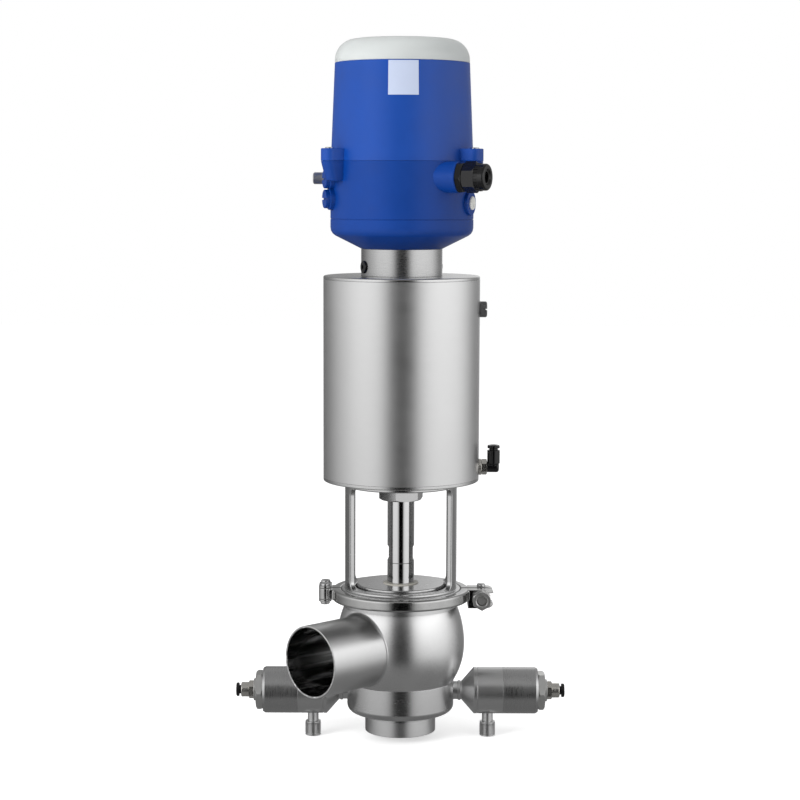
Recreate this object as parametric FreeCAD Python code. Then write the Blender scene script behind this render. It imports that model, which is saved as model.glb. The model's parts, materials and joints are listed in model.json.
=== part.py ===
import FreeCAD, Part
import math
import os
from FreeCAD import Placement, Rotation, Vector

# Mixproof valve, DN 65, with a spring-closed actuator, a control head and two purge valves.
# Millimetres. The origin is the centre of the lower port's end face, +Z runs up the valve's axis.
# An azimuth is in degrees from the front, which is -Y, and grows towards +X.

# Clearances and small chamfers
running_gap = 0.07       # radial, round anything that slides or turns
seat_gap = 0.3           # between a moving piece and what stops it
ring_gap = 0.3           # between the clamp's groove and the flanges
fit_gap = 0.05           # between pieces that are assembled and stay put
edge_break = 0.6         # chamfer on turned edges

# Pipe ends
tube_od = 70.0
tube_wall = 2.0
lower_stub = 15.0
side_azimuth = -45.0
side_reach = 122.0

# Seat housing with its two seats and the leak chamber between them
housing_r = 53.0
foot_height = 5.0
foot_fillet = 4.5
housing_height = 31.0
housing_edge = 7.0
seat_step = 1.0
lower_seat_start = 1.0
lower_seat_height = 12.0
leak_r = 45.0
leak_height = 13.5
upper_seat_r = 38.0
leak_hole_r = 5.0

# Ball body
ball_r = 63.4
ball_low = 37.0
ball_high = 38.0
ball_wall = 2.5
seam_step = 0.4
root_start = 44.0         # the side tube's conical root, which fills the ball's hole
root_r = 35.1
root_end = 58.6
root_end_r = 35.6
root_runout = 2.4
ferrule_r = 55.5
ferrule_wall = 4.0
ferrule_height = 8.6

# Flange stack under the clamp
flange_r = 62.5
flange_cone = 1.4
flange_rim = 1.2
bonnet_rim = 2.0
lantern_rim = 1.0
lantern_cone = 1.0
lantern_neck_r = 59.0

# Clamp
clamp_r = 68.0
clamp_lower_lip = 2.4
clamp_upper_lip = 2.2
clamp_lower_round = 2.0
clamp_upper_round = 2.5
clamp_split = 3.0
bolt_pin_x = 80.0
bolt_pin_y = 6.5
bolt_pin_r = 3.0
bolt_r = 5.0
bolt_eye_r = 8.0
bolt_eye_height = 10.8
slot_gap = 0.3
lug_reach = 92.5
lug_root = 66.4
lug_height = 18.4
lug_depth = 12.5
front_lug_depth = 10.5
lug_corner = 6.0
bolt_drop = 9.2
pin_head_r = 4.2
pin_head_height = 3.2
nut_flats = 17.0
nut_height = 8.0
washer_r = 9.0
washer_thickness = 1.5
bolt_end_recess = 0.7
knuckle_r = 6.2
knuckle_x = 74.6
knuckle_y = 8.4
knuckle_height = 11.4
link_thickness = 2.0
rivet_r = 2.6
rivet_head_r = 4.6
rivet_head_height = 2.8

# Bonnet and its bush
boss_r = 43.3
boss_height = 9.3
spigot_depth = 6.2
spigot_gap = 0.3
hub_r = 24.0
hub_depth = 7.0
bonnet_bore_gap = 0.28
bush_r = 17.5
bush_length = 17.0
bush_proud = 0.8
stem_seal_height = 5.4
oring_groove_depth = 1.9
oring_groove_width = 3.0
oring_groove_drop = 1.7

# Stem and plug
stem_r = 13.3
plug_waist_r = 26.0
lower_disc_gap = 0.4
lower_disc_drop = 1.0
lower_disc_height = 8.0
upper_disc_height = 4.5
plug_flange_r = 41.0
plug_flange_height = 4.0
plug_cone_height = 23.0
plug_cone_fillet = 14.0
plug_seal_depth = 3.6
plug_seal_width = 2.8
stem_joint_rise = 21.0
thread_r = 8.0
thread_length = 15.0
flat_width = 23.9
flat_length = 14.2
flat_rise = 1.8
stroke = 30.0

# Lantern, a tube with two windows
lantern_r = 55.2
lantern_wall = 5.2
lantern_height = 112.6
lantern_base_r = 45.0
lantern_base_height = 6.8
lantern_shoulder = 2.6
lantern_fillet = 3.0
lantern_top_ring = 5.8
leg_half_angle = 25.8
window_corner = 8.0

# Actuator
actuator_r = 76.5
actuator_wall = 2.5
actuator_height = 200.9
cover_rim = 3.3
cover_round = 2.4
cover_spigot = 6.2
cover_plate = 3.0
gland_boss_r = 24.0
gland_boss_height = 7.8
gland_hex_flats = 39.0
gland_hex_height = 12.0
gland_turn = 17.0
gland_spigot_r = 20.0
piston_lift = 14.0
piston_height = 16.0
piston_gap = 0.25
piston_groove_depth = 3.6
piston_groove_width = 4.0
spring_pocket_depth = 3.0
spring_r = 48.0
spring_wire = 9.0
spring_turns = 6.0
rod_r = 8.0
piston_nut_flats = 30.0
piston_nut_height = 10.0
piston_seat_r = 10.0
stop_sleeve_r = 22.0
stop_sleeve_bore = 12.0
inlet_rise = 12.8
air_vent_drop = 32.7
port_r = 4.8
stud_proud = 3.0

# Air fittings, 6 mm tube
air_tube_r = 3.05
air_bore_r = 2.0
collet_r = 4.25
collet_socket = 10.0
collet_press = 1.2
collet_flange = 3.0
collet_throat = 1.9

# Elbow fitting on the actuator
elbow_washer_r = 8.0
elbow_washer = 2.5
elbow_hex_flats = 13.5
elbow_hex = 5.5
elbow_neck_r = 3.5
elbow_r = 5.35
elbow_reach = 6.5
elbow_body_r = 6.2
elbow_body_start = 2.9
elbow_body_length = 13.9
elbow_flange_r = 6.0

# Air vent high on the actuator
air_vent_r = 7.75
air_vent_proud = 7.0

# Neck between the actuator and the control head
neck_r = 39.65
neck_wall = 3.0
neck_height = 26.3
neck_lip = 3.0
neck_lip_r = 30.0
neck_screw_azimuth = -67.0
neck_screw_rise = 5.8
neck_screw_head_r = 6.2
neck_screw_head = 1.6
neck_screw_r = 3.0

# Control head
head_r = 69.6
head_wall = 3.0
bowl_rise = 15.0
bowl_round = 9.0
base_height = 84.2
band_rise = 28.4
band_depth = 0.5
band_width = 0.8
floor_hole_r = 16.0
gasket_thickness = 0.6
gasket_inset = 0.5
cover_foot_r = head_r - 0.4
cover_top_r = head_r - 4.3
cover_height = 93.7
cover_wall = 2.5
dome_height = 24.2
dome_crown = 2.2
dome_corner = 19.5
dome_lip = 6.0
ear_reach = head_r + 9.9
ear_r = 8.5
ear_root_reach = head_r + 1.4
ear_root_r = 5.0
ear_drop = 19.2
ear_height = 11.3
ear_azimuths = (-60.0, 60.0, 180.0)
ear_screw_r = 2.5
ear_screw_length = 20.0
ear_screw_head_r = 4.4
ear_screw_head = 2.8
ear_socket_flats = 4.0
ear_socket_depth = 1.8

# Cable gland on the control head
gland_azimuth = 65.0
gland_offset = 30.0
gland_drop = 15.2
gland_stud_length = 12.0
gland_sleeve_length = 10.0
mould_draft = 0.3
gland_boss = 15.0
gland_boss_reach = head_r + 4.4
gland_thread_r = 9.9
gland_flats = 27.0
gland_hex = 6.0
gland_nut_flats = 26.0
gland_nut_length = 22.6
gland_cable_r = 5.5
gland_mouth_r = 8.0

# Other ports of the control head
vent_azimuth = 68.0
vent_drop = 39.7
vent_boss_r = 12.0
vent_boss_proud = 2.6
vent_plug_r = 6.5
vent_plug_proud = 1.8
plug_azimuth = -75.0
plug_drops = (17.2, 36.2)
plug_boss_r = 10.5
plug_boss_proud = 4.0
blank_plug_r = 9.0
blank_plug_proud = 4.2
blank_slot_width = 1.8
blank_slot_depth = 1.6
connector_azimuth = -100.0
connector_drop = 16.2
connector_boss_r = 9.5
connector_boss_proud = 2.6
connector_ring_r = 8.0
connector_ring = 3.0
connector_r = 6.0
connector_length = 15.5
connector_bore_r = 4.6
connector_well = 8.0
port_root_r = 35.0
port_stud_r = 4.9
port_stud_length = 6.0

# Inside the control head
magnet_r = 14.0
magnet_height = 8.0
magnet_rise = 6.5
rod_tip = 4.0
board_y = 22.0
board_width = 84.0
board_height = 90.0
board_thickness = 1.6
pilot_width = 19.0
pilot_depth = 24.0
pilot_height = 46.0
pilot_coil = 12.0
pilot_x = -27.0

# Purge valves, built along +X from the valve's axis
purge_neck_r = 9.0
purge_neck_end = 61.0
purge_r = 23.0
purge_shoulder = 72.6
purge_bead = 3.4
purge_bead_groove = 0.5
purge_joint = 101.6
purge_chamber_r = 18.0
purge_bulkhead = 5.6
purge_cylinder_length = 35.0
purge_cylinder_wall = 3.0
purge_chamfer = 2.4
purge_cap_flats = 35.0
purge_cap_length = 7.0
purge_collar_r = 11.0
purge_collar_length = 2.4
purge_cap_spigot = 5.6
purge_travel = 5.0
purge_piston_height = 7.7
purge_groove_width = 2.4
purge_groove_depth = 1.5
purge_rod_r = 4.0
poppet_r = 8.7
poppet_nose_r = 4.7
poppet_height = 2.5
purge_spring_r = 12.0
purge_spring_wire = 2.2
purge_spring_turns = 3.5
purge_hex_flats = 16.0
purge_hex = 5.0
purge_fitting_r = 7.25
purge_fitting_length = 7.6
purge_flange_r = 6.8
nozzle_x = 87.0
nozzle_neck_r = 5.4
nozzle_neck = 8.3
nozzle_r = 7.9
nozzle_length = 14.2
nozzle_bore_r = 4.0

# Places worked out from the sizes above
tube_r = tube_od / 2
tube_bore = tube_r - tube_wall
housing_base = lower_stub + foot_height
housing_top = housing_base + housing_height
lower_seat_base = housing_base + lower_seat_start
lower_seat_r = tube_bore + seat_step
leak_base = lower_seat_base + lower_seat_height
leak_top = leak_base + leak_height
leak_mid = (leak_base + leak_top) / 2
ball_z = housing_top + ball_low
ferrule_base = ball_z + ball_high
ferrule_top = ferrule_base + ferrule_height
ferrule_bore = ferrule_r - ferrule_wall
flange_top = ferrule_top + flange_cone + flange_rim
bonnet_rim_top = flange_top + bonnet_rim
lantern_rim_top = bonnet_rim_top + lantern_rim
lantern_cone_top = lantern_rim_top + lantern_cone
clamp_base = ferrule_top - clamp_lower_lip
clamp_top = lantern_cone_top + clamp_upper_lip
boss_top = bonnet_rim_top + boss_height
bonnet_under = flange_top - spigot_depth
hub_base = bonnet_under - hub_depth
stem_joint = boss_top + stem_joint_rise
lantern_top = bonnet_rim_top + lantern_height
actuator_top = lantern_top + actuator_height
chamber_floor = lantern_top + cover_rim + cover_plate
piston_base = chamber_floor + piston_lift
piston_top = piston_base + piston_height
piston_nut_top = piston_top + piston_nut_height
cover_inner = actuator_top - cover_rim - cover_spigot
actuator_bore = actuator_r - actuator_wall
neck_top = actuator_top + neck_height
bowl_top = neck_top + bowl_rise
base_top = neck_top + base_height
cover_base = base_top + gasket_thickness
cover_top = cover_base + cover_height
magnet_base = neck_top + head_wall + magnet_rise
rod_top = magnet_base + magnet_height + rod_tip
bolt_z = clamp_top - bolt_drop
lug_face = -clamp_split / 2 - front_lug_depth
purge_cylinder_end = purge_joint + purge_cylinder_length
purge_cap_end = purge_cylinder_end + purge_cap_length + purge_collar_length
purge_cylinder_bore = purge_r - purge_cylinder_wall
purge_bulkhead_face = purge_joint + purge_cylinder_wall
purge_piston_end = purge_cylinder_end - purge_cap_spigot - seat_gap
purge_piston_start = purge_piston_end - purge_piston_height

origin = Vector(0, 0, 0)
up = Vector(0, 0, 1)
big = 400.0


# A point at a radius and azimuth
def polar(radius, azimuth, z=0.0):
    angle = math.radians(azimuth)
    return Vector(radius * math.sin(angle), -radius * math.cos(angle), z)


# Edges of a closed outline in the XZ plane; a third number rounds that corner
def outline_edges(points):
    starts = []
    ends = []
    arcs = []
    for number, point in enumerate(points):
        here = Vector(point[0], 0, point[1])
        back = Vector(points[number - 1][0], 0, points[number - 1][1]) - here
        ahead_point = points[(number + 1) % len(points)]
        ahead = Vector(ahead_point[0], 0, ahead_point[1]) - here
        radius = point[2] if len(point) > 2 else 0.0
        if radius == 0.0:
            starts.append(here)
            ends.append(here)
            arcs.append(None)
            continue
        back.normalize()
        ahead.normalize()
        half = back.getAngle(ahead) / 2
        reach = radius / math.tan(half)
        middle = (back + ahead).normalize()
        centre = here + middle * (radius / math.sin(half))
        starts.append(here + back * reach)
        ends.append(here + ahead * reach)
        arcs.append(centre - middle * radius)
    edges = []
    for number, start in enumerate(starts):
        if arcs[number] is not None:
            edges.append(Part.Arc(start, arcs[number], ends[number]).toShape())
        following = starts[(number + 1) % len(points)]
        if following.distanceToPoint(ends[number]) > 1e-6:
            edges.append(Part.LineSegment(ends[number], following).toShape())
    return edges


def turned(edges):
    return Part.Face(Part.Wire(edges)).revolve(origin, up, 360)


def lathe(points):
    return turned(outline_edges(points))


def cylinder(radius, z_low, z_high):
    return Part.makeCylinder(radius, z_high - z_low, Vector(0, 0, z_low))


def ring(r_out, r_in, z_low, z_high):
    return cylinder(r_out, z_low, z_high).cut(cylinder(r_in, z_low, z_high))


def block(x_low, x_high, y_low, y_high, z_low, z_high):
    return Part.makeBox(x_high - x_low, y_high - y_low, z_high - z_low, Vector(x_low, y_low, z_low))


# Takes a piece built up the Z axis and points it another way from a new origin
def aimed(shape, place, direction):
    moved = shape.copy()
    moved.Placement = Placement(place, Rotation(up, direction)).multiply(shape.Placement)
    return moved


def radial(shape, azimuth, z):
    return aimed(shape, Vector(0, 0, z), polar(1, azimuth))


def shifted(shape, x=0.0, y=0.0, z=0.0):
    moved = shape.copy()
    moved.translate(Vector(x, y, z))
    return moved


# A hexagon bar with its corners turned off at both ends
def hexagon(flats, z_low, z_high, turn=0.0):
    corner = flats / math.sqrt(3)
    slope = (corner - flats / 2) * 0.6
    points = []
    for number in range(7):
        angle = math.radians(turn + 60 * number)
        points.append(Vector(corner * math.cos(angle), corner * math.sin(angle), z_low))
    bar = Part.Face(Part.makePolygon(points)).extrude(Vector(0, 0, z_high - z_low))
    blank = lathe([(0, z_low), (flats / 2, z_low), (corner, z_low + slope),
                   (corner, z_high - slope), (flats / 2, z_high), (0, z_high)])
    return bar.common(blank)


# A round-wire compression spring standing on z_low. The wire's section is drawn as three arcs,
# because one full circle is meshed badly once the STEP file is read back
def spring(mean_r, wire, z_low, z_high, turns):
    height = z_high - z_low - wire
    path = Part.makeHelix(height / turns, height, mean_r)
    middle = Vector(mean_r, 0, 0)
    rim = []
    for sixth in range(7):
        angle = math.radians(60 * sixth)
        rim.append(middle + Vector(math.cos(angle), 0, math.sin(angle)) * (wire / 2))
    arcs = []
    for start in (0, 2, 4):
        arcs.append(Part.Arc(rim[start], rim[start + 1], rim[start + 2]).toShape())
    coil = Part.Wire(path).makePipeShell([Part.Wire(arcs)], True, True)
    return shifted(coil, z=z_low + wire / 2)


# Arc from the ball's widest circle, where the wall stands upright, to a point above or below it
def ball_arc(r_wide, r_end, rise):
    radius = (rise ** 2 + (r_wide - r_end) ** 2) / (2 * (r_wide - r_end))
    half = math.asin(rise / radius) / 2
    wide = Vector(r_wide, 0, ball_z)
    middle = Vector(r_wide - radius + radius * math.cos(half), 0, ball_z + radius * math.sin(half))
    end = Vector(r_end, 0, ball_z + rise)
    return Part.Arc(wide, middle, end).toShape()


def line(r_start, z_start, r_end, z_end):
    return Part.LineSegment(Vector(r_start, 0, z_start), Vector(r_end, 0, z_end)).toShape()


ball_foot_r = housing_r - seam_step
ball_top_r = ferrule_r + seam_step


def lower_port():
    return ring(tube_r, tube_bore, 0, lower_stub)


# Turned housing: a weld foot, the lower seat, the leak chamber and the upper seat
def seat_housing():
    body = lathe([(tube_bore, lower_stub), (tube_r, lower_stub),
                  (tube_r, housing_base, foot_fillet), (housing_r, housing_base, housing_edge),
                  (housing_r, housing_top), (upper_seat_r, housing_top),
                  (upper_seat_r, leak_top), (leak_r, leak_top), (leak_r, leak_base),
                  (lower_seat_r + seat_step, leak_base), (lower_seat_r, leak_base - seat_step),
                  (lower_seat_r, lower_seat_base + seat_step), (tube_bore, lower_seat_base)])
    for azimuth in (-90, 90):
        body = body.cut(radial(cylinder(leak_hole_r, leak_r - 2, housing_r + 1), azimuth, leak_mid))
    return body


# The ball's outside as a solid block, used to trim the side tube
def ball_chamber():
    foot_r = ball_foot_r - ball_wall
    top_r = ball_top_r - ball_wall
    low = ball_arc(ball_r - ball_wall, foot_r, -ball_low)
    high = ball_arc(ball_r - ball_wall, top_r, ball_high)
    edges = [low, high, line(top_r, ferrule_base, 0, ferrule_base),
             line(0, ferrule_base, 0, housing_top), line(0, housing_top, foot_r, housing_top)]
    return turned(Part.__sortEdges__(edges))


# The hole in the ball widens outwards, so that the tube's root fits it for welding
def side_hole():
    far = 2 * root_end - root_start
    far_r = 2 * root_end_r - root_r
    cone = lathe([(0, root_start), (root_r, root_start), (far_r, far), (0, far)])
    return radial(cone, side_azimuth, ball_z)


def upper_housing():
    under = ferrule_top + flange_cone
    inner_r = ball_r - ball_wall
    inner_foot = ball_foot_r - ball_wall
    inner_top = ball_top_r - ball_wall
    edges = [ball_arc(ball_r, ball_foot_r, -ball_low), ball_arc(ball_r, ball_top_r, ball_high),
             line(ball_top_r, ferrule_base, ferrule_r, ferrule_base),
             line(ferrule_r, ferrule_base, ferrule_r, ferrule_top),
             line(ferrule_r, ferrule_top, flange_r, under),
             line(flange_r, under, flange_r, flange_top),
             line(flange_r, flange_top, ferrule_bore, flange_top),
             line(ferrule_bore, flange_top, ferrule_bore, ferrule_base),
             line(ferrule_bore, ferrule_base, inner_top, ferrule_base),
             ball_arc(inner_r, inner_top, ball_high), ball_arc(inner_r, inner_foot, -ball_low),
             line(inner_foot, housing_top, ball_foot_r, housing_top)]
    return turned(Part.__sortEdges__(edges)).cut(side_hole())


# The root fills the ball's hole, and its inner end is flush with the ball's wall
def side_port():
    tube = lathe([(tube_bore, root_start), (root_r, root_start), (root_end_r, root_end, 6.0),
                  (tube_r, root_end + root_runout, 8.0), (tube_r, side_reach), (tube_bore, side_reach)])
    return radial(tube, side_azimuth, ball_z).cut(ball_chamber())


# The bonnet closes the ball and carries the stem's bush and seal
def bonnet():
    spigot_r = ferrule_bore - spigot_gap
    groove_r = spigot_r - oring_groove_depth
    groove_top = flange_top - oring_groove_drop
    groove_base = groove_top - oring_groove_width
    return lathe([(stem_r + bonnet_bore_gap, hub_base), (hub_r, hub_base, 2.0), (hub_r, bonnet_under),
                  (spigot_r, bonnet_under), (spigot_r, groove_base), (groove_r, groove_base),
                  (groove_r, groove_top), (spigot_r, groove_top), (spigot_r, flange_top),
                  (flange_r, flange_top), (flange_r, bonnet_rim_top), (boss_r, bonnet_rim_top),
                  (boss_r, boss_top, 1.0), (bush_r, boss_top),
                  (bush_r, boss_top - bush_length - stem_seal_height),
                  (stem_r + bonnet_bore_gap, boss_top - bush_length - stem_seal_height)])


def stem_bush():
    low = boss_top - bush_length + fit_gap
    bore = stem_r + running_gap
    return lathe([(bore, low), (bush_r - fit_gap, low), (bush_r - fit_gap, boss_top + bush_proud),
                  (bore + 0.8, boss_top + bush_proud), (bore, boss_top + bush_proud - 0.8)])


# Ring in the spigot's groove, and the lip seal below the stem's bush
def bonnet_seals():
    r_out = ferrule_bore - fit_gap
    r_in = ferrule_bore - spigot_gap - oring_groove_depth + fit_gap
    height = flange_top - oring_groove_drop - oring_groove_width / 2
    oring = Part.makeTorus((r_out + r_in) / 2, (r_out - r_in) / 2, Vector(0, 0, height))
    high = boss_top - bush_length
    low = high - stem_seal_height + fit_gap
    bore = stem_r + running_gap
    middle = (bore + bush_r) / 2
    lip = lathe([(bore, low), (middle - 0.8, low), (middle - 0.4, high - 2.0), (middle + 0.4, high - 2.0),
                 (middle + 0.8, low), (bush_r - fit_gap, low), (bush_r - fit_gap, high), (bore, high)])
    return Part.makeCompound([oring, lip])


# The lantern is cut from one tube, so that its windows have radial edges and round corners
def lantern():
    inner_r = lantern_r - lantern_wall
    base_top_z = bonnet_rim_top + lantern_base_height
    shoulder = lantern_cone_top + lantern_shoulder
    ring_base = lantern_top - lantern_top_ring
    body = lathe([(lantern_base_r, bonnet_rim_top), (flange_r, bonnet_rim_top), (flange_r, lantern_rim_top),
                  (lantern_neck_r, lantern_cone_top), (lantern_neck_r, shoulder, 1.2),
                  (lantern_r, shoulder, lantern_fillet), (lantern_r, lantern_top),
                  (lantern_base_r, lantern_top), (lantern_base_r, ring_base), (inner_r, ring_base),
                  (inner_r, base_top_z), (lantern_base_r, base_top_z, 1.0)])
    for middle in (0, 180):
        body = body.cut(window(middle, base_top_z, ring_base))
    return body


def window(azimuth, z_low, z_high):
    spread = 180 - 2 * leg_half_angle
    r_in = lantern_base_r - 1
    r_out = lantern_neck_r + 1
    edges = outline_edges([(r_in, z_low), (r_out, z_low), (r_out, z_high), (r_in, z_high)])
    sector = Part.Face(Part.Wire(edges)).revolve(origin, up, spread)
    upright = []
    for edge in sector.Edges:
        span = edge.BoundBox.ZLength
        if span < 0.01 and abs(edge.Length - (r_out - r_in)) < 0.01:
            upright.append(edge)
    sector = sector.makeFillet(window_corner, upright)
    sector.rotate(origin, up, azimuth - 90 - spread / 2)
    return sector


# The clamp's channel section, with a groove that follows the cones of the flange stack
def clamp_ring():
    return lathe([(ferrule_r + ring_gap, clamp_base), (clamp_r, clamp_base, clamp_lower_round),
                  (clamp_r, clamp_top, clamp_upper_round), (lantern_neck_r + ring_gap, clamp_top),
                  (lantern_neck_r + ring_gap, lantern_cone_top + ring_gap),
                  (flange_r + ring_gap, lantern_rim_top + ring_gap),
                  (flange_r + ring_gap, ferrule_top + flange_cone - ring_gap),
                  (ferrule_r + ring_gap, ferrule_top - ring_gap)])


# A lug's side outline, drawn across the ring's end and pushed along Y
def lug_plate(y_low, y_high):
    low = clamp_top - lug_height
    edges = outline_edges([(lug_root, low), (lug_reach, low, lug_corner),
                           (lug_reach, clamp_top, lug_corner), (lug_root, clamp_top)])
    plate = Part.Face(Part.Wire(edges)).extrude(Vector(0, y_high - y_low, 0))
    return shifted(plate, y=y_low)


def slot_cutter(x_start, half_width, y_low, y_high):
    return block(x_start, big, y_low, y_high, bolt_z - half_width, bolt_z + half_width)


def knuckle(y_side):
    mid = (clamp_base + clamp_top) / 2 + rivet_r / 2
    low = mid - knuckle_height / 2
    barrel = shifted(cylinder(knuckle_r, low, low + knuckle_height), x=-knuckle_x, y=y_side)
    web_low = max(low, clamp_base)
    web_high = min(low + knuckle_height, clamp_top)
    y_near = math.copysign(clamp_split / 2, y_side)
    y_far = y_side + math.copysign(knuckle_r - 1.5, y_side)
    web = block(-knuckle_x, -flange_r, min(y_near, y_far), max(y_near, y_far), web_low, web_high)
    return barrel.fuse(web)


def rivet_holes():
    holes = None
    for y_side in (-knuckle_y, knuckle_y):
        hole = shifted(cylinder(rivet_r + fit_gap, clamp_base - 20, clamp_top + 20), x=-knuckle_x, y=y_side)
        holes = hole if holes is None else holes.fuse(hole)
    return holes


# The flanges' room is kept free inside both halves
def clamp_half(side, lug):
    half_box = block(-big, big, min(0, side * big), max(0, side * big), 0, big)
    half_box.translate(Vector(0, side * clamp_split / 2, 0))
    ends = lug.fuse(knuckle(side * knuckle_y)).cut(cylinder(clamp_r - 2, 0, big))
    return clamp_ring().common(half_box).fuse(ends).cut(rivet_holes()).removeSplitter()


def clamp_rear_half():
    near = clamp_split / 2
    lug = lug_plate(near, near + lug_depth)
    lug = lug.cut(slot_cutter(bolt_pin_x - bolt_eye_r - slot_gap, bolt_eye_height / 2 + slot_gap, 0, big))
    pin = cylinder(bolt_pin_r + fit_gap, 0, big)
    return clamp_half(1, lug.cut(shifted(pin, x=bolt_pin_x, y=bolt_pin_y)))


# The front lug is forked for the bolt, and its outer half is rounded about the bolt's pin
def clamp_front_half():
    lug = lug_plate(lug_face, -clamp_split / 2)
    lug = lug.cut(slot_cutter(bolt_pin_x - bolt_r - slot_gap, bolt_r + slot_gap, lug_face, 0))
    swing_r = bolt_pin_y - lug_face - seat_gap
    corner = block(bolt_pin_x, big, lug_face - 1, 0, 0, big)
    corner = corner.cut(shifted(cylinder(swing_r, 0, big), x=bolt_pin_x, y=bolt_pin_y))
    return clamp_half(-1, lug.cut(corner))


def link_levels():
    mid = (clamp_base + clamp_top) / 2 + rivet_r / 2
    high = mid + knuckle_height / 2 + fit_gap
    low = mid - knuckle_height / 2 - fit_gap
    return low, high


def clamp_hinge_links():
    low, high = link_levels()
    plates = []
    for z_low in (low - link_thickness, high):
        plate = block(-knuckle_x - knuckle_r, -knuckle_x + knuckle_r, -knuckle_y, knuckle_y,
                      z_low, z_low + link_thickness)
        for y_side in (-knuckle_y, knuckle_y):
            plate = plate.fuse(shifted(cylinder(knuckle_r, z_low, z_low + link_thickness),
                                       x=-knuckle_x, y=y_side))
        plates.append(plate.cut(rivet_holes()).removeSplitter())
    return Part.makeCompound(plates)


# Rivets with a domed head at each end
def clamp_hinge_pins():
    low, high = link_levels()
    low = low - link_thickness
    high = high + link_thickness
    pin = lathe([(0, low - rivet_head_height), (rivet_head_r, low - rivet_head_height, rivet_head_r * 0.5),
                 (rivet_head_r, low - fit_gap), (rivet_r, low - fit_gap), (rivet_r, high + fit_gap),
                 (rivet_head_r, high + fit_gap), (rivet_head_r, high + rivet_head_height, rivet_head_r * 0.5),
                 (0, high + rivet_head_height)])
    pins = []
    for y_side in (-knuckle_y, knuckle_y):
        pins.append(shifted(pin, x=-knuckle_x, y=y_side))
    return Part.makeCompound(pins)


def clamp_pivot_pin():
    low = clamp_top - lug_height - 1
    pin = lathe([(0, low), (bolt_pin_r, low), (bolt_pin_r, clamp_top + fit_gap),
                 (pin_head_r, clamp_top + fit_gap), (pin_head_r, clamp_top + pin_head_height, 1.6),
                 (0, clamp_top + pin_head_height)])
    return shifted(pin, x=bolt_pin_x, y=bolt_pin_y)


def bolt_axis(shape):
    return aimed(shape, Vector(bolt_pin_x, bolt_pin_y, bolt_z), Vector(0, -1, 0))


washer_start = bolt_pin_y - lug_face
nut_start = washer_start + washer_thickness
bolt_end = nut_start + nut_height - bolt_end_recess


def clamp_swing_bolt():
    half = bolt_eye_height / 2
    eye = shifted(cylinder(bolt_eye_r, bolt_z - half, bolt_z + half), x=bolt_pin_x, y=bolt_pin_y)
    shank = lathe([(0, bolt_pin_r), (bolt_r, bolt_pin_r), (bolt_r, bolt_end - 1), (bolt_r - 1, bolt_end),
                   (0, bolt_end)])
    hole = shifted(cylinder(bolt_pin_r + running_gap, 0, big), x=bolt_pin_x, y=bolt_pin_y)
    return eye.fuse(bolt_axis(shank)).cut(hole)


def clamp_washer():
    return bolt_axis(ring(washer_r, bolt_r + running_gap, washer_start, nut_start))


def clamp_nut():
    nut = hexagon(nut_flats, nut_start, nut_start + nut_height)
    nut = nut.cut(cylinder(bolt_r + running_gap, nut_start, nut_start + nut_height))
    return bolt_axis(nut)


# One plug with two seals: a lower disc in the lower seat, an upper disc and a stop flange above
def valve_plug():
    low_r = lower_seat_r - lower_disc_gap
    high_r = upper_seat_r - lower_disc_gap
    base = lower_seat_base + lower_disc_drop
    disc_top = base + lower_disc_height
    stop = housing_top + seat_gap
    upper_base = stop - upper_disc_height
    flange_z = stop + plug_flange_height
    groove_low, groove_high = plug_grooves()
    return lathe([(0, base), (low_r, base, 1.0), (low_r, groove_low), (low_r - plug_seal_depth, groove_low),
                  (low_r - plug_seal_depth, groove_low + plug_seal_width),
                  (low_r, groove_low + plug_seal_width), (low_r, disc_top),
                  (plug_waist_r, disc_top + 2), (plug_waist_r, upper_base - 2), (high_r, upper_base),
                  (high_r, groove_high), (high_r - plug_seal_depth, groove_high),
                  (high_r - plug_seal_depth, groove_high + plug_seal_width),
                  (high_r, groove_high + plug_seal_width), (high_r, stop),
                  (plug_flange_r, stop), (plug_flange_r, flange_z, 1.5),
                  (stem_r, flange_z + plug_cone_height, plug_cone_fillet), (stem_r, stem_joint),
                  (thread_r, stem_joint), (thread_r, stem_joint + thread_length),
                  (0, stem_joint + thread_length)])


def plug_grooves():
    low = lower_seat_base + lower_disc_drop + (lower_disc_height - plug_seal_width) / 2
    high = housing_top + seat_gap - (upper_disc_height + plug_seal_width) / 2
    return low, high


def plug_seals():
    seals = []
    for seat_r, groove in zip((lower_seat_r, upper_seat_r), plug_grooves()):
        r_in = seat_r - lower_disc_gap - plug_seal_depth + fit_gap
        r_out = seat_r - running_gap
        low = groove + fit_gap
        high = groove + plug_seal_width - fit_gap
        seals.append(lathe([(r_in, low), (r_out, low, 0.6), (r_out, high, 0.6), (r_in, high)]))
    return Part.makeCompound(seals)


# Shaft with wrench flats at its foot, a shoulder under the piston and a thin rod to the head
def actuator_shaft():
    shaft = lathe([(thread_r + fit_gap, stem_joint), (stem_r - edge_break, stem_joint),
                   (stem_r, stem_joint + edge_break), (stem_r, piston_base),
                   (piston_seat_r, piston_base), (piston_seat_r, piston_nut_top),
                   (rod_r, piston_nut_top), (rod_r, rod_top), (0, rod_top),
                   (0, stem_joint + thread_length + 1), (thread_r + fit_gap, stem_joint + thread_length + 1)])
    low = stem_joint + flat_rise
    high = low + flat_length
    half = flat_width / 2
    runout = stem_r - half + 0.3
    for side in (-1, 1):
        edges = outline_edges([(side * half, low + runout), (side * (half + runout), low),
                               (side * (half + runout), high + runout), (side * half, high)])
        cutter = Part.Face(Part.Wire(edges)).extrude(Vector(0, 2 * stem_r, 0))
        shaft = shaft.cut(shifted(cutter, y=-stem_r))
    return shaft


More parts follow.
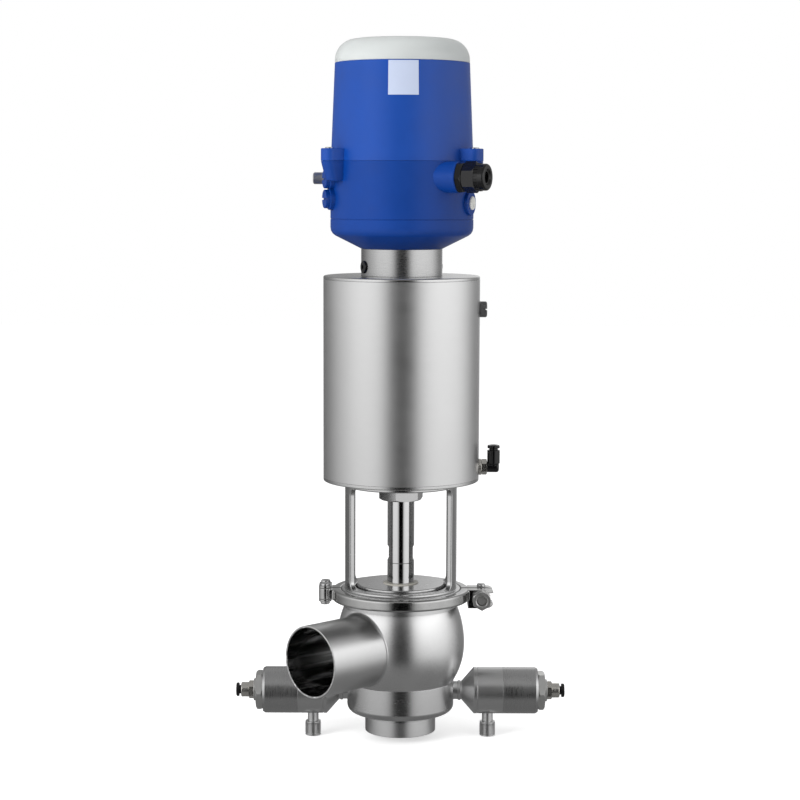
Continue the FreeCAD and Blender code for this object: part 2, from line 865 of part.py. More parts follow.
def shaft_gland():
    low = lantern_top - gland_boss_height
    bar = hexagon(gland_hex_flats, low - gland_hex_height, low, gland_turn)
    bar = bar.fuse(cylinder(gland_spigot_r - fit_gap, low, chamber_floor))
    return bar.cut(cylinder(stem_r + running_gap, low - gland_hex_height - 1, chamber_floor + 1))


def actuator_bottom_cover():
    boss = lantern_top - gland_boss_height
    seam = lantern_top + cover_rim
    return lathe([(gland_spigot_r, boss), (gland_boss_r, boss, 1.0), (gland_boss_r, lantern_top),
                  (actuator_r, lantern_top, cover_round), (actuator_r, seam),
                  (actuator_bore - fit_gap, seam), (actuator_bore - fit_gap, chamber_floor),
                  (gland_spigot_r, chamber_floor)])


def actuator_cylinder():
    body = ring(actuator_r, actuator_bore, lantern_top + cover_rim, actuator_top - cover_rim)
    for height in (lantern_top + inlet_rise, actuator_top - air_vent_drop):
        hole = cylinder(port_r + fit_gap, actuator_bore - 5, actuator_r + 5)
        body = body.cut(radial(hole, 90, height))
    return body


# The top cover's sleeve stops the piston's nut at the end of the stroke
def actuator_top_cover():
    seam = actuator_top - cover_rim
    sleeve_end = piston_nut_top + stroke + seat_gap
    return lathe([(rod_r + running_gap, actuator_top), (actuator_r, actuator_top, cover_round),
                  (actuator_r, seam), (actuator_bore - fit_gap, seam), (actuator_bore - fit_gap, cover_inner),
                  (stop_sleeve_r, cover_inner), (stop_sleeve_r, sleeve_end), (stop_sleeve_bore, sleeve_end),
                  (stop_sleeve_bore, cover_inner), (rod_r + running_gap, cover_inner)])


def piston_groove():
    return piston_base + (piston_height - piston_groove_width) / 2


def actuator_piston():
    r_out = actuator_bore - piston_gap
    groove = piston_groove()
    pocket = piston_top - spring_pocket_depth
    pocket_in = spring_r - spring_wire
    pocket_out = spring_r + spring_wire
    return lathe([(piston_seat_r + fit_gap, piston_base), (r_out - 2, piston_base), (r_out, piston_base + 2),
                  (r_out, groove), (r_out - piston_groove_depth, groove),
                  (r_out - piston_groove_depth, groove + piston_groove_width),
                  (r_out, groove + piston_groove_width), (r_out, piston_top - 2), (r_out - 2, piston_top),
                  (pocket_out, piston_top), (pocket_out, pocket), (pocket_in, pocket),
                  (pocket_in, piston_top), (piston_seat_r + fit_gap, piston_top)])


def piston_seal():
    r_out = actuator_bore - running_gap
    r_in = actuator_bore - piston_gap - piston_groove_depth + fit_gap
    low = piston_groove() + fit_gap
    high = low + piston_groove_width - 2 * fit_gap
    return lathe([(r_in, low), (r_out, low, 1.0), (r_out, high, 1.0), (r_in, high)])


def piston_nut():
    return hexagon(piston_nut_flats, piston_top, piston_nut_top).cut(
        cylinder(piston_seat_r + fit_gap, piston_top, piston_nut_top))


def main_spring():
    low = piston_top - spring_pocket_depth + seat_gap
    return spring(spring_r, spring_wire, low, cover_inner - seat_gap, spring_turns)


# Vent plug with a tool slot, high on the actuator
def air_vent():
    end = actuator_r + air_vent_proud
    plug = lathe([(0, actuator_bore - stud_proud), (port_r, actuator_bore - stud_proud), (port_r, actuator_r),
                  (air_vent_r, actuator_r), (air_vent_r, end, 1.6), (0, end)])
    slot = block(-blank_slot_width / 2, blank_slot_width / 2, -air_vent_r, air_vent_r, end - 1.6, end + 1)
    return radial(plug.cut(slot), 90, actuator_top - air_vent_drop)


elbow_face = actuator_r + elbow_washer + elbow_hex
elbow_x = elbow_face + fit_gap + elbow_reach
elbow_z = lantern_top + inlet_rise


# Hexagon adapter with a stub on which the elbow turns
def elbow_adapter():
    body = lathe([(0, actuator_bore - stud_proud), (port_r, actuator_bore - stud_proud), (port_r, actuator_r),
                  (elbow_washer_r, actuator_r), (elbow_washer_r, actuator_r + elbow_washer),
                  (elbow_neck_r, actuator_r + elbow_washer), (elbow_neck_r, elbow_x),
                  (0, elbow_x)])
    body = body.fuse(hexagon(elbow_hex_flats, actuator_r + elbow_washer, elbow_face))
    body = body.cut(cylinder(air_bore_r, actuator_bore - 4, elbow_x + 1))
    return radial(body, 90, elbow_z)


# A push-in socket built up from z: stop, collet bore and tube bore
def socket_bore(z_end, length):
    return cylinder(collet_r + running_gap, z_end - length, z_end + 1)


def elbow_body():
    barrel = lathe([(0, elbow_face + fit_gap), (elbow_r, elbow_face + fit_gap),
                    (elbow_r, elbow_x + elbow_r, elbow_r * 0.6), (0, elbow_x + elbow_r)])
    barrel = radial(barrel, 90, elbow_z)
    body_low = elbow_z + elbow_body_start
    body_high = body_low + elbow_body_length
    leg = lathe([(0, elbow_z), (elbow_r, elbow_z), (elbow_r, body_low), (elbow_body_r, body_low + 0.8),
                 (elbow_body_r, body_high, 0.8), (0, body_high)])
    body = barrel.fuse(shifted(leg, x=elbow_x))
    body = body.cut(radial(cylinder(elbow_neck_r + running_gap, elbow_face - 1, elbow_x + 1), 90, elbow_z))
    body = body.cut(shifted(cylinder(air_bore_r, elbow_z, body_high), x=elbow_x))
    return body.cut(shifted(socket_bore(body_high, collet_socket + collet_press), x=elbow_x))


# Release collet of a push-in fitting, standing on the socket that ends at z_end
def collet(z_end, flange_r_out):
    start = z_end - collet_socket + fit_gap
    flange = z_end + collet_throat
    sleeve = ring(collet_r, air_tube_r, start, flange)
    return sleeve.fuse(lathe([(air_tube_r, flange), (flange_r_out, flange),
                              (flange_r_out, flange + collet_flange, 1.0),
                              (air_tube_r, flange + collet_flange)]))


def elbow_collet():
    end = elbow_z + elbow_body_start + elbow_body_length
    return shifted(collet(end, elbow_flange_r), x=elbow_x)


def neck_adapter():
    inner = neck_r - neck_wall
    body = lathe([(neck_lip_r, actuator_top), (neck_r, actuator_top), (neck_r, neck_top),
                  (neck_lip_r, neck_top), (neck_lip_r, neck_top - neck_lip), (inner, neck_top - neck_lip),
                  (inner, actuator_top + neck_lip), (neck_lip_r, actuator_top + neck_lip)])
    for azimuth in (neck_screw_azimuth, neck_screw_azimuth + 180):
        hole = cylinder(neck_screw_r + fit_gap, inner - 5, neck_r + 5)
        body = body.cut(radial(hole, azimuth, actuator_top + neck_screw_rise + neck_lip))
    return body


def neck_screws():
    screws = []
    for azimuth in (neck_screw_azimuth, neck_screw_azimuth + 180):
        screw = lathe([(0, neck_r - neck_wall - 2), (neck_screw_r, neck_r - neck_wall - 2),
                       (neck_screw_r, neck_r), (neck_screw_head_r, neck_r),
                       (neck_screw_head_r, neck_r + neck_screw_head, 0.8), (0, neck_r + neck_screw_head)])
        screws.append(radial(screw, azimuth, actuator_top + neck_screw_rise + neck_lip))
    return Part.makeCompound(screws)


# A round-ended bar from the axis to a nose, as a wire at one height
def ear_wire(reach, nose_r, azimuth, z):
    root = polar(port_root_r, azimuth, z)
    nose = polar(reach, azimuth, z)
    across = polar(nose_r, azimuth + 90)
    tip = polar(reach + nose_r, azimuth, z)
    edges = [Part.LineSegment(root - across, nose - across).toShape(),
             Part.Arc(nose - across, tip, nose + across).toShape(),
             Part.LineSegment(nose + across, root + across).toShape(),
             Part.LineSegment(root + across, root - across).toShape()]
    return Part.Wire(edges)


def gland_line(shape):
    direction = polar(1, gland_azimuth)
    place = polar(gland_offset, gland_azimuth - 90, base_top - gland_drop)
    return aimed(shape, place, direction)


def head_cavity():
    inner = head_r - head_wall
    return lathe([(0, neck_top + head_wall), (neck_r, neck_top + head_wall),
                  (inner, bowl_top + head_wall, bowl_round - head_wall), (inner, base_top + 1),
                  (0, base_top + 1)])


# Blue base: a bowl with three ears, port bosses and a hole for the rod in its floor
def head_base():
    body = lathe([(0, neck_top), (neck_r, neck_top), (head_r, bowl_top, bowl_round),
                  (head_r, base_top), (0, base_top)])
    for azimuth in ear_azimuths:
        top_wire = ear_wire(ear_reach, ear_r, azimuth, base_top)
        low_wire = ear_wire(ear_root_reach - ear_root_r, ear_root_r, azimuth, base_top - ear_drop)
        body = body.fuse(Part.makeLoft([low_wire, top_wire], True, True))
    body = body.fuse(gland_line(cylinder(gland_boss, port_root_r, gland_boss_reach)))
    body = body.fuse(radial(cylinder(vent_boss_r, port_root_r, head_r + vent_boss_proud),
                            vent_azimuth, base_top - vent_drop))
    for drop in plug_drops:
        body = body.fuse(radial(cylinder(plug_boss_r, port_root_r, head_r + plug_boss_proud),
                                plug_azimuth, base_top - drop))
    body = body.fuse(radial(cylinder(connector_boss_r, port_root_r, head_r + connector_boss_proud),
                            connector_azimuth, base_top - connector_drop))
    band = ring(head_r + 1, head_r - band_depth, neck_top + band_rise, neck_top + band_rise + band_width)
    body = body.cut(band).cut(head_cavity()).cut(cylinder(floor_hole_r, neck_top - 1, bowl_top))
    for cutter in head_port_holes():
        body = body.cut(cutter)
    return body


def head_port_holes():
    stud = cylinder(port_stud_r + fit_gap, port_root_r, big)
    thread_hole = lathe([(0, port_root_r), (gland_thread_r + fit_gap, port_root_r),
                         (gland_thread_r + fit_gap + mould_draft, gland_boss_reach + 1),
                         (0, gland_boss_reach + 1)])
    holes = [gland_line(thread_hole),
             radial(stud, vent_azimuth, base_top - vent_drop),
             radial(stud, connector_azimuth, base_top - connector_drop)]
    for drop in plug_drops:
        holes.append(radial(stud, plug_azimuth, base_top - drop))
    for azimuth in ear_azimuths:
        place = polar(ear_reach, azimuth, base_top - ear_screw_length + ear_height + gasket_thickness)
        holes.append(Part.makeCylinder(ear_screw_r + fit_gap, ear_screw_length, place))
    return holes


# Conical cover with an ear over each ear of the base
def head_cover():
    body = lathe([(0, cover_base), (cover_foot_r, cover_base), (cover_top_r, cover_top), (0, cover_top)])
    for azimuth in ear_azimuths:
        ear = Part.Face(ear_wire(ear_reach, ear_r, azimuth, cover_base)).extrude(Vector(0, 0, ear_height))
        body = body.fuse(ear)
    cavity = lathe([(0, cover_base - 1), (cover_foot_r - cover_wall, cover_base - 1),
                    (cover_foot_r - cover_wall, cover_base), (cover_top_r - cover_wall, cover_top),
                    (cover_top_r - cover_wall, cover_top + 1), (0, cover_top + 1)])
    body = body.cut(cavity)
    for azimuth in ear_azimuths:
        body = body.cut(Part.makeCylinder(ear_screw_r + fit_gap, 2 * ear_height,
                                          polar(ear_reach, azimuth, cover_base - 1)))
    return body


def head_gasket():
    return ring(cover_foot_r - gasket_inset, head_r - head_wall, base_top, cover_base)


# Translucent dome with a lip inside the cover
def head_dome():
    edge = cover_top + dome_height - dome_crown
    lip_r = cover_top_r - cover_wall - fit_gap
    inner = cover_top_r - cover_wall
    shell = lathe([(0, cover_top), (cover_top_r, cover_top), (cover_top_r - 0.8, edge, dome_corner),
                   (0, cover_top + dome_height)])
    cavity = lathe([(0, cover_top - 1), (inner, cover_top - 1),
                    (inner - 0.8, edge - cover_wall, dome_corner - cover_wall),
                    (0, cover_top + dome_height - cover_wall)])
    lip = ring(lip_r, lip_r - cover_wall, cover_top - dome_lip, cover_top + cover_wall)
    return shell.cut(cavity).fuse(lip).removeSplitter()


def head_screws():
    screws = []
    top = cover_base + ear_height
    for azimuth in ear_azimuths:
        screw = lathe([(0, top - ear_screw_length + 1), (ear_screw_r, top - ear_screw_length + 1),
                       (ear_screw_r, top), (ear_screw_head_r, top),
                       (ear_screw_head_r, top + ear_screw_head, 0.6), (0, top + ear_screw_head)])
        socket = hexagon(ear_socket_flats, top + ear_screw_head - ear_socket_depth, top + ear_screw_head + 1)
        place = polar(ear_reach, azimuth)
        screws.append(shifted(screw.cut(socket), x=place.x, y=place.y))
    return Part.makeCompound(screws)


def blank_plugs():
    plugs = []
    face = head_r + plug_boss_proud
    end = face + blank_plug_proud
    for drop in plug_drops:
        plug = lathe([(0, face - port_stud_length), (port_stud_r, face - port_stud_length),
                      (port_stud_r, face), (blank_plug_r, face), (blank_plug_r, end, 0.8), (0, end)])
        slot = block(-blank_slot_width / 2, blank_slot_width / 2, -blank_plug_r, blank_plug_r,
                     end - blank_slot_depth, end + 1)
        plugs.append(radial(plug.cut(slot), plug_azimuth, base_top - drop))
    return Part.makeCompound(plugs)


# Metal M12 plug connector with its pin well
def m12_connector():
    face = head_r + connector_boss_proud
    ring_end = face + connector_ring
    end = face + connector_length
    body = lathe([(0, face - port_stud_length), (port_stud_r, face - port_stud_length),
                  (port_stud_r, face), (connector_ring_r, face), (connector_ring_r, ring_end, edge_break),
                  (connector_r, ring_end), (connector_r, end - edge_break), (connector_r - edge_break, end),
                  (connector_bore_r, end), (connector_bore_r, end - connector_well),
                  (0, end - connector_well)])
    return radial(body, connector_azimuth, base_top - connector_drop)


def cable_gland_body():
    start = gland_boss_reach
    end = start + gland_hex + gland_sleeve_length
    body = lathe([(gland_cable_r, start - gland_stud_length), (gland_thread_r, start - gland_stud_length),
                  (gland_thread_r, end - gland_sleeve_length / 2), (gland_thread_r - 1, end),
                  (gland_cable_r, end)])
    collar = hexagon(gland_flats, start, start + gland_hex)
    return gland_line(body.fuse(collar.cut(cylinder(gland_cable_r, start, start + gland_hex))))


# Dome nut, together with the rubber insert that it presses on the cable
def cable_gland_nut():
    start = gland_boss_reach + gland_hex + seat_gap
    end = start + gland_nut_length
    body = hexagon(gland_nut_flats, start, start + gland_nut_length * 0.55)
    dome = lathe([(0, start), (gland_nut_flats / 2 - 0.3, start), (gland_nut_flats / 2 - 0.3, end, 4.2),
                  (gland_mouth_r, end), (gland_mouth_r - 1.5, end - 2), (0, end - 2)])
    sleeve_end = gland_boss_reach + gland_hex + gland_sleeve_length
    bore = lathe([(0, start - 1), (gland_thread_r + fit_gap, start - 1), (gland_thread_r + fit_gap, sleeve_end),
                  (gland_cable_r, sleeve_end), (gland_cable_r, end + 1), (0, end + 1)])
    return gland_line(body.fuse(dome).cut(bore))


def vent_plug():
    face = head_r + vent_boss_proud
    end = face + vent_plug_proud
    plug = lathe([(0, face - port_stud_length), (port_stud_r, face - port_stud_length),
                  (port_stud_r, face), (vent_plug_r, face), (vent_plug_r, end, 0.9), (0, end)])
    return radial(plug, vent_azimuth, base_top - vent_drop)


# Target on the rod's end that the position sensor reads
def position_magnet():
    return ring(magnet_r, rod_r + fit_gap, magnet_base, magnet_base + magnet_height)


def circuit_board():
    low = neck_top + head_wall + fit_gap
    return block(-board_width / 2, board_width / 2, board_y, board_y + board_thickness, low + bowl_rise / 2,
                 low + bowl_rise / 2 + board_height).fuse(
        block(-neck_r / 2, neck_r / 2, board_y, board_y + board_thickness, low, low + bowl_rise))


def pilot_valve():
    low = neck_top + head_wall + fit_gap
    body = block(pilot_x - pilot_width / 2, pilot_x + pilot_width / 2, -pilot_depth / 2, pilot_depth / 2,
                 low, low + pilot_height)
    coil_base = low + pilot_height
    coil = cylinder(pilot_width / 2 - 1, coil_base, coil_base + pilot_coil)
    return body.fuse(shifted(coil, x=pilot_x))


# One purge valve lies along +X at the height of the leak chamber; the left one is turned half round
def purge_place(shape, side):
    placed = radial(shape, 90, leak_mid)
    if side == "left":
        placed.rotate(origin, up, 180)
    return placed


def purge_body(side):
    groove = purge_shoulder + purge_bead
    neck_bore = leak_hole_r
    cone_end = purge_neck_end + purge_chamber_r - neck_bore
    body = lathe([(neck_bore, leak_r), (purge_neck_r, leak_r), (purge_neck_r, purge_neck_end, 2.0),
                  (purge_r - edge_break, purge_shoulder), (purge_r, purge_shoulder + edge_break),
                  (purge_r, groove), (purge_r - purge_bead_groove, groove),
                  (purge_r - purge_bead_groove, groove + 0.8), (purge_r, groove + 0.8),
                  (purge_r, purge_joint), (purge_chamber_r, purge_joint), (purge_chamber_r, cone_end),
                  (neck_bore, purge_neck_end)])
    body = purge_place(body, "right").cut(cylinder(housing_r, leak_mid - purge_r, leak_mid + purge_r))
    nozzle_top = leak_mid - purge_chamber_r
    neck_end = leak_mid - purge_r - nozzle_neck
    end = neck_end - nozzle_length
    nozzle = lathe([(0, nozzle_top - 2), (nozzle_neck_r, nozzle_top - 2), (nozzle_neck_r, neck_end),
                    (nozzle_r, neck_end), (nozzle_r, end, 0.6), (0, end)])
    body = body.fuse(shifted(nozzle, x=nozzle_x))
    body = body.cut(shifted(cylinder(nozzle_bore_r, end - 1, leak_mid), x=nozzle_x))
    if side == "left":
        body.rotate(origin, up, 180)
    return body


def purge_cylinder(side):
    body = lathe([(purge_rod_r + running_gap, purge_joint - purge_bulkhead),
                  (purge_chamber_r - fit_gap, purge_joint - purge_bulkhead),
                  (purge_chamber_r - fit_gap, purge_joint), (purge_r, purge_joint),
                  (purge_r, purge_cylinder_end - purge_chamfer),
                  (purge_r - purge_chamfer * 0.6, purge_cylinder_end),
                  (purge_cylinder_bore, purge_cylinder_end), (purge_cylinder_bore, purge_bulkhead_face),
                  (purge_rod_r + running_gap, purge_bulkhead_face)])
    return purge_place(body, side)


def purge_cap(side):
    collar_start = purge_cap_end - purge_collar_length
    spigot_r = purge_cylinder_bore - fit_gap
    spigot = cylinder(spigot_r, purge_cylinder_end - purge_cap_spigot, purge_cylinder_end)
    body = hexagon(purge_cap_flats, purge_cylinder_end, collar_start).fuse(spigot)
    body = body.fuse(cylinder(purge_collar_r, collar_start, purge_cap_end))
    body = body.cut(cylinder(air_bore_r, 0, big))
    body = body.cut(cylinder(port_r + fit_gap, purge_cap_end - port_stud_length, purge_cap_end + 1))
    return purge_place(body, side)


# Piston, rod and poppet in one piece; its cone meets the neck's cone at the end of the travel
def purge_piston(side):
    nose = purge_neck_end + (poppet_nose_r - leak_hole_r) + purge_travel + seat_gap
    back = nose + poppet_r - poppet_nose_r
    r_out = purge_cylinder_bore - running_gap
    middle = (purge_piston_start + purge_piston_end) / 2
    body = lathe([(0, nose), (poppet_nose_r, nose), (poppet_r, back), (poppet_r, back + poppet_height),
                  (purge_rod_r, back + poppet_height), (purge_rod_r, purge_piston_start),
                  (r_out, purge_piston_start), (r_out, middle - purge_groove_width / 2),
                  (r_out - purge_groove_depth, middle - purge_groove_width / 2),
                  (r_out - purge_groove_depth, middle + purge_groove_width / 2),
                  (r_out, middle + purge_groove_width / 2), (r_out, purge_piston_end),
                  (0, purge_piston_end)])
    return purge_place(body, side)


def purge_spring(side):
    coil = spring(purge_spring_r, purge_spring_wire, purge_bulkhead_face + seat_gap,
                  purge_piston_start - seat_gap, purge_spring_turns)
    return purge_place(coil, side)


def purge_fitting(side):
    start = purge_cap_end
    hex_end = start + purge_hex
    end = hex_end + purge_fitting_length
    body = lathe([(0, start - port_stud_length + fit_gap), (port_r, start - port_stud_length + fit_gap),
                  (port_r, hex_end - 1), (purge_fitting_r, hex_end - 1), (purge_fitting_r, end, 1.0),
                  (0, end)])
    body = body.fuse(hexagon(purge_hex_flats, start, hex_end))
    body = body.cut(cylinder(air_bore_r, 0, big)).cut(socket_bore(end, collet_socket + collet_press))
    return purge_place(body, side)


def purge_collet(side):
    end = purge_cap_end + purge_hex + purge_fitting_length
    return purge_place(collet(end, purge_flange_r), side)


pieces = [lower_port, seat_housing, upper_housing, side_port, bonnet, stem_bush, bonnet_seals,
          lantern, clamp_rear_half, clamp_front_half, clamp_hinge_links, clamp_hinge_pins,
          clamp_pivot_pin, clamp_swing_bolt, clamp_washer, clamp_nut, valve_plug, plug_seals,
          actuator_shaft, shaft_gland, actuator_bottom_cover, actuator_cylinder, actuator_top_cover,
          actuator_piston, piston_seal, piston_nut, main_spring, air_vent, elbow_adapter, elbow_body,
          elbow_collet, neck_adapter, neck_screws, head_base, head_cover, head_gasket, head_dome,
          head_screws, blank_plugs, m12_connector, cable_gland_body, cable_gland_nut, vent_plug,
          position_magnet, circuit_board, pilot_valve]
purge_pieces = [purge_body, purge_cylinder, purge_cap, purge_piston, purge_spring, purge_fitting,
                purge_collet]

os.makedirs("parts", exist_ok=True)
for piece in pieces:
    piece().exportStep("parts/" + piece.__name__ + ".step")
for side in ("left", "right"):
    for piece in purge_pieces:
        piece(side).exportStep("parts/" + side + "_" + piece.__name__ + ".step")
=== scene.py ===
import json
import math
import bmesh
import bpy
from mathutils import Matrix, Vector


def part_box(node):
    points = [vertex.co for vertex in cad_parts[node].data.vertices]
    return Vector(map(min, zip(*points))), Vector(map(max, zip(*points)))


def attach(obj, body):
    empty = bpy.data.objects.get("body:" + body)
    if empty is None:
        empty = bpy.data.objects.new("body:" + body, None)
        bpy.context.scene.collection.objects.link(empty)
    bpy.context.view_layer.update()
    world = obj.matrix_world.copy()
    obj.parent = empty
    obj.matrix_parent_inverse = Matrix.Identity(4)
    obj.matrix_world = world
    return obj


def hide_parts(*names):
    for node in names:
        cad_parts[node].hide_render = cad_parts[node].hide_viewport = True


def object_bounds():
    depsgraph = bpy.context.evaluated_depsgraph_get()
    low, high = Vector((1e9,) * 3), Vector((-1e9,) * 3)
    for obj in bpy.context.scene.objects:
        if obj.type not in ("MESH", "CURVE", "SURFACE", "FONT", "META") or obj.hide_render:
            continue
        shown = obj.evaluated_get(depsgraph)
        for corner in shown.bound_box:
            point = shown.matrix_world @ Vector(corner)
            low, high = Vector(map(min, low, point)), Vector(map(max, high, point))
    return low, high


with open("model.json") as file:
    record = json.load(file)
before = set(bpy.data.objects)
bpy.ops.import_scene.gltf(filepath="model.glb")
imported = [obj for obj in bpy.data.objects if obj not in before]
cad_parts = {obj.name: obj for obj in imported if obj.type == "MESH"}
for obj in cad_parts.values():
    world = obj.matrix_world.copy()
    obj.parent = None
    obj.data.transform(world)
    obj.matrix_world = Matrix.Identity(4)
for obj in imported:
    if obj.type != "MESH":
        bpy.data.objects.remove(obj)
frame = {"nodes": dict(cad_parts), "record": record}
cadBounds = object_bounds()
scene = bpy.context.scene
mm = 0.001
upright = Vector((0, 0, 1))
print("frame loaded")


# Corners of a node's box, in millimetres
def boxOf(node):
    low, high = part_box(node)
    return low / mm, high / mm


def lowOf(node):
    return boxOf(node)[0].z


def highOf(node):
    return boxOf(node)[1].z


def polar(radius, azimuth, z=0.0):  # azimuth 0 is the front, -Y
    angle = math.radians(azimuth)
    return Vector((radius * math.sin(angle), -radius * math.cos(angle), z))


def aim(place, direction):  # turns +Z to a direction, at a place in millimetres
    turn = upright.rotation_difference(Vector(direction)).to_matrix().to_4x4()
    return Matrix.Translation(Vector(place) * mm) @ turn


def outward(azimuth, z):
    return aim((0, 0, z), polar(1, azimuth))


# Stands an outline in X and Y up in X and Z, so that it is pushed along Y
standUp = Matrix.Rotation(math.radians(90), 4, "X")


# Rounds the corners of an outline; a third number is that corner's own radius
def softOutline(points, soft=0.3, stepAngle=22.0):
    smooth = []
    for number, point in enumerate(points):
        here = Vector(point[:2])
        back = Vector(points[number - 1][:2]) - here
        ahead = Vector(points[(number + 1) % len(points)][:2]) - here
        radius = point[2] if len(point) > 2 else soft
        if point[0] < 1e-6 or radius <= 0 or back.length < 1e-6 or ahead.length < 1e-6:
            smooth.append(here)
            continue
        between = back.angle(ahead)
        if between > math.radians(172):
            smooth.append(here)
            continue
        reach = min(radius / math.tan(between / 2), 0.46 * back.length, 0.46 * ahead.length)
        radius = reach * math.tan(between / 2)
        middle = (back.normalized() + ahead.normalized()).normalized()
        centre = here + middle * (radius / math.sin(between / 2))
        start = here + back.normalized() * reach - centre
        sweep = start.angle_signed(here + ahead.normalized() * reach - centre)
        count = max(2, math.ceil(abs(sweep) / math.radians(stepAngle)))
        for step in range(count + 1):
            angle = -sweep * step / count
            smooth.append(centre + Matrix.Rotation(angle, 2) @ start)
    return smooth


def newPiece(name, mesh):
    piece = bpy.data.objects.new(name, mesh)
    scene.collection.objects.link(piece)
    return piece


def meshFrom(builder, name):
    bmesh.ops.recalc_face_normals(builder, faces=builder.faces)
    mesh = bpy.data.meshes.new(name)
    builder.to_mesh(mesh)
    builder.free()
    return mesh


# Turns a closed outline of (radius, height) about the Z axis
def turned(name, points, sides=128, soft=0.3, where=None):
    outline = softOutline(points, soft)
    builder = bmesh.new()
    rings = []
    for point in outline:
        if point.x < 1e-6:
            rings.append([builder.verts.new((0, 0, point.y * mm))])
            continue
        ring = []
        for side in range(sides):
            angle = 2 * math.pi * side / sides
            ring.append(builder.verts.new((point.x * mm * math.cos(angle),
                                           point.x * mm * math.sin(angle), point.y * mm)))
        rings.append(ring)
    for number, ring in enumerate(rings):
        following = rings[(number + 1) % len(rings)]
        if len(ring) == 1 and len(following) == 1:
            continue
        for side in range(sides):
            after = (side + 1) % sides
            if len(ring) == 1:
                corners = (ring[0], following[side], following[after])
            elif len(following) == 1:
                corners = (ring[side], following[0], ring[after])
            else:
                corners = (ring[side], following[side], following[after], ring[after])
            builder.faces.new(corners)
    piece = newPiece(name, meshFrom(builder, name))
    if where is not None:
        piece.data.transform(where)
    return piece


# Pushes a flat outline of (x, y) up the Z axis
def pushed(name, points, low, high, soft=0.0, where=None):
    outline = softOutline(points, soft) if soft else [Vector(point[:2]) for point in points]
    builder = bmesh.new()
    base = [builder.verts.new((p.x * mm, p.y * mm, low * mm)) for p in outline]
    top = [builder.verts.new((p.x * mm, p.y * mm, high * mm)) for p in outline]
    builder.faces.new(base)
    builder.faces.new(top)
    for number in range(len(base)):
        after = (number + 1) % len(base)
        builder.faces.new((base[number], base[after], top[after], top[number]))
    piece = newPiece(name, meshFrom(builder, name))
    if where is not None:
        piece.data.transform(where)
    return piece


def slab(name, low, high):  # a plain block between two corners
    return pushed(name, [(low[0], low[1]), (high[0], low[1]), (high[0], high[1]), (low[0], high[1])],
                  low[2], high[2])


def rod(name, radius, low, high, sides=96, where=None):
    return turned(name, [(0, low), (radius, low), (radius, high), (0, high)], sides, 0.0, where)


def sixPoints(flats, turn=0.0):
    corner = flats / math.sqrt(3)
    points = []
    for number in range(6):
        angle = math.radians(turn + 60 * number)
        points.append((corner * math.cos(angle), corner * math.sin(angle)))
    return points


# Joins closed rings of points, given in millimetres, into a tube; the ends are capped or meet
def swept(name, rings, closed=False):
    builder = bmesh.new()
    loops = []
    for ring in rings:
        loops.append([builder.verts.new(Vector(point) * mm) for point in ring])
    count = len(loops)
    for number in range(count if closed else count - 1):
        here = loops[number]
        after = loops[(number + 1) % count]
        for step in range(len(here)):
            ahead = (step + 1) % len(here)
            builder.faces.new((here[step], here[ahead], after[ahead], after[step]))
    if not closed:
        builder.faces.new(loops[0])
        builder.faces.new(loops[-1])
    return newPiece(name, meshFrom(builder, name))


# Turns a piece that was built up the Z axis so that it points another way
def placed(piece, where):
    piece.data.transform(where)
    return piece


def moved(piece, x=0.0, y=0.0, z=0.0):
    return placed(piece, Matrix.Translation(Vector((x, y, z)) * mm))


def arc(centre, radius, start, end, steps=18):
    points = []
    for step in range(steps + 1):
        angle = math.radians(start + (end - start) * step / steps)
        points.append((centre[0] + radius * math.cos(angle), centre[1] + radius * math.sin(angle), 0.0))
    return points


# Turns what the modifiers make into the piece's own mesh
def settle(piece):
    bpy.context.view_layer.update()
    graph = bpy.context.evaluated_depsgraph_get()
    mesh = bpy.data.meshes.new_from_object(piece.evaluated_get(graph), depsgraph=graph)
    piece.modifiers.clear()
    piece.data = mesh
    return piece


def combine(piece, other, operation):
    step = piece.modifiers.new("combine", "BOOLEAN")
    step.operation = operation
    step.solver = "EXACT"
    step.object = other
    settle(piece)
    bpy.data.objects.remove(other)
    return piece


def cut(piece, cutter):
    return combine(piece, cutter, "DIFFERENCE")


def add(piece, other):
    return combine(piece, other, "UNION")


def keepInside(piece, other):
    return combine(piece, other, "INTERSECT")


def softEdges(piece, width):
    step = piece.modifiers.new("soft edges", "BEVEL")
    step.width = width * mm
    step.segments = 2
    step.limit_method = "ANGLE"
    step.angle_limit = math.radians(30)
    step.miter_outer = "MITER_ARC"
    return settle(piece)


# A hexagon with its corners turned off
def hexPiece(name, flats, low, high, turn=0.0, bore=0.0, soft=0.25):
    corner = flats / math.sqrt(3)
    slope = (corner - flats / 2) * 0.6
    piece = pushed(name, sixPoints(flats, turn), low, high)
    blank = turned("blank", [(0, low), (flats / 2, low), (corner, low + slope), (corner, high - slope),
                             (flats / 2, high), (0, high)], 96, 0.0)
    keepInside(piece, blank)
    if bore:
        cut(piece, rod("bore", bore, low - 1, high + 1, 64))
    return softEdges(piece, soft)


def join(name, pieces):
    builder = bmesh.new()
    for piece in pieces:
        builder.from_mesh(piece.data)
        bpy.data.objects.remove(piece)
    mesh = bpy.data.meshes.new(name)
    builder.to_mesh(mesh)
    builder.free()
    return newPiece(name, mesh)


bodyOf = {node: body for body, nodes in frame["record"]["behaviour"]["bodies"].items() for node in nodes}


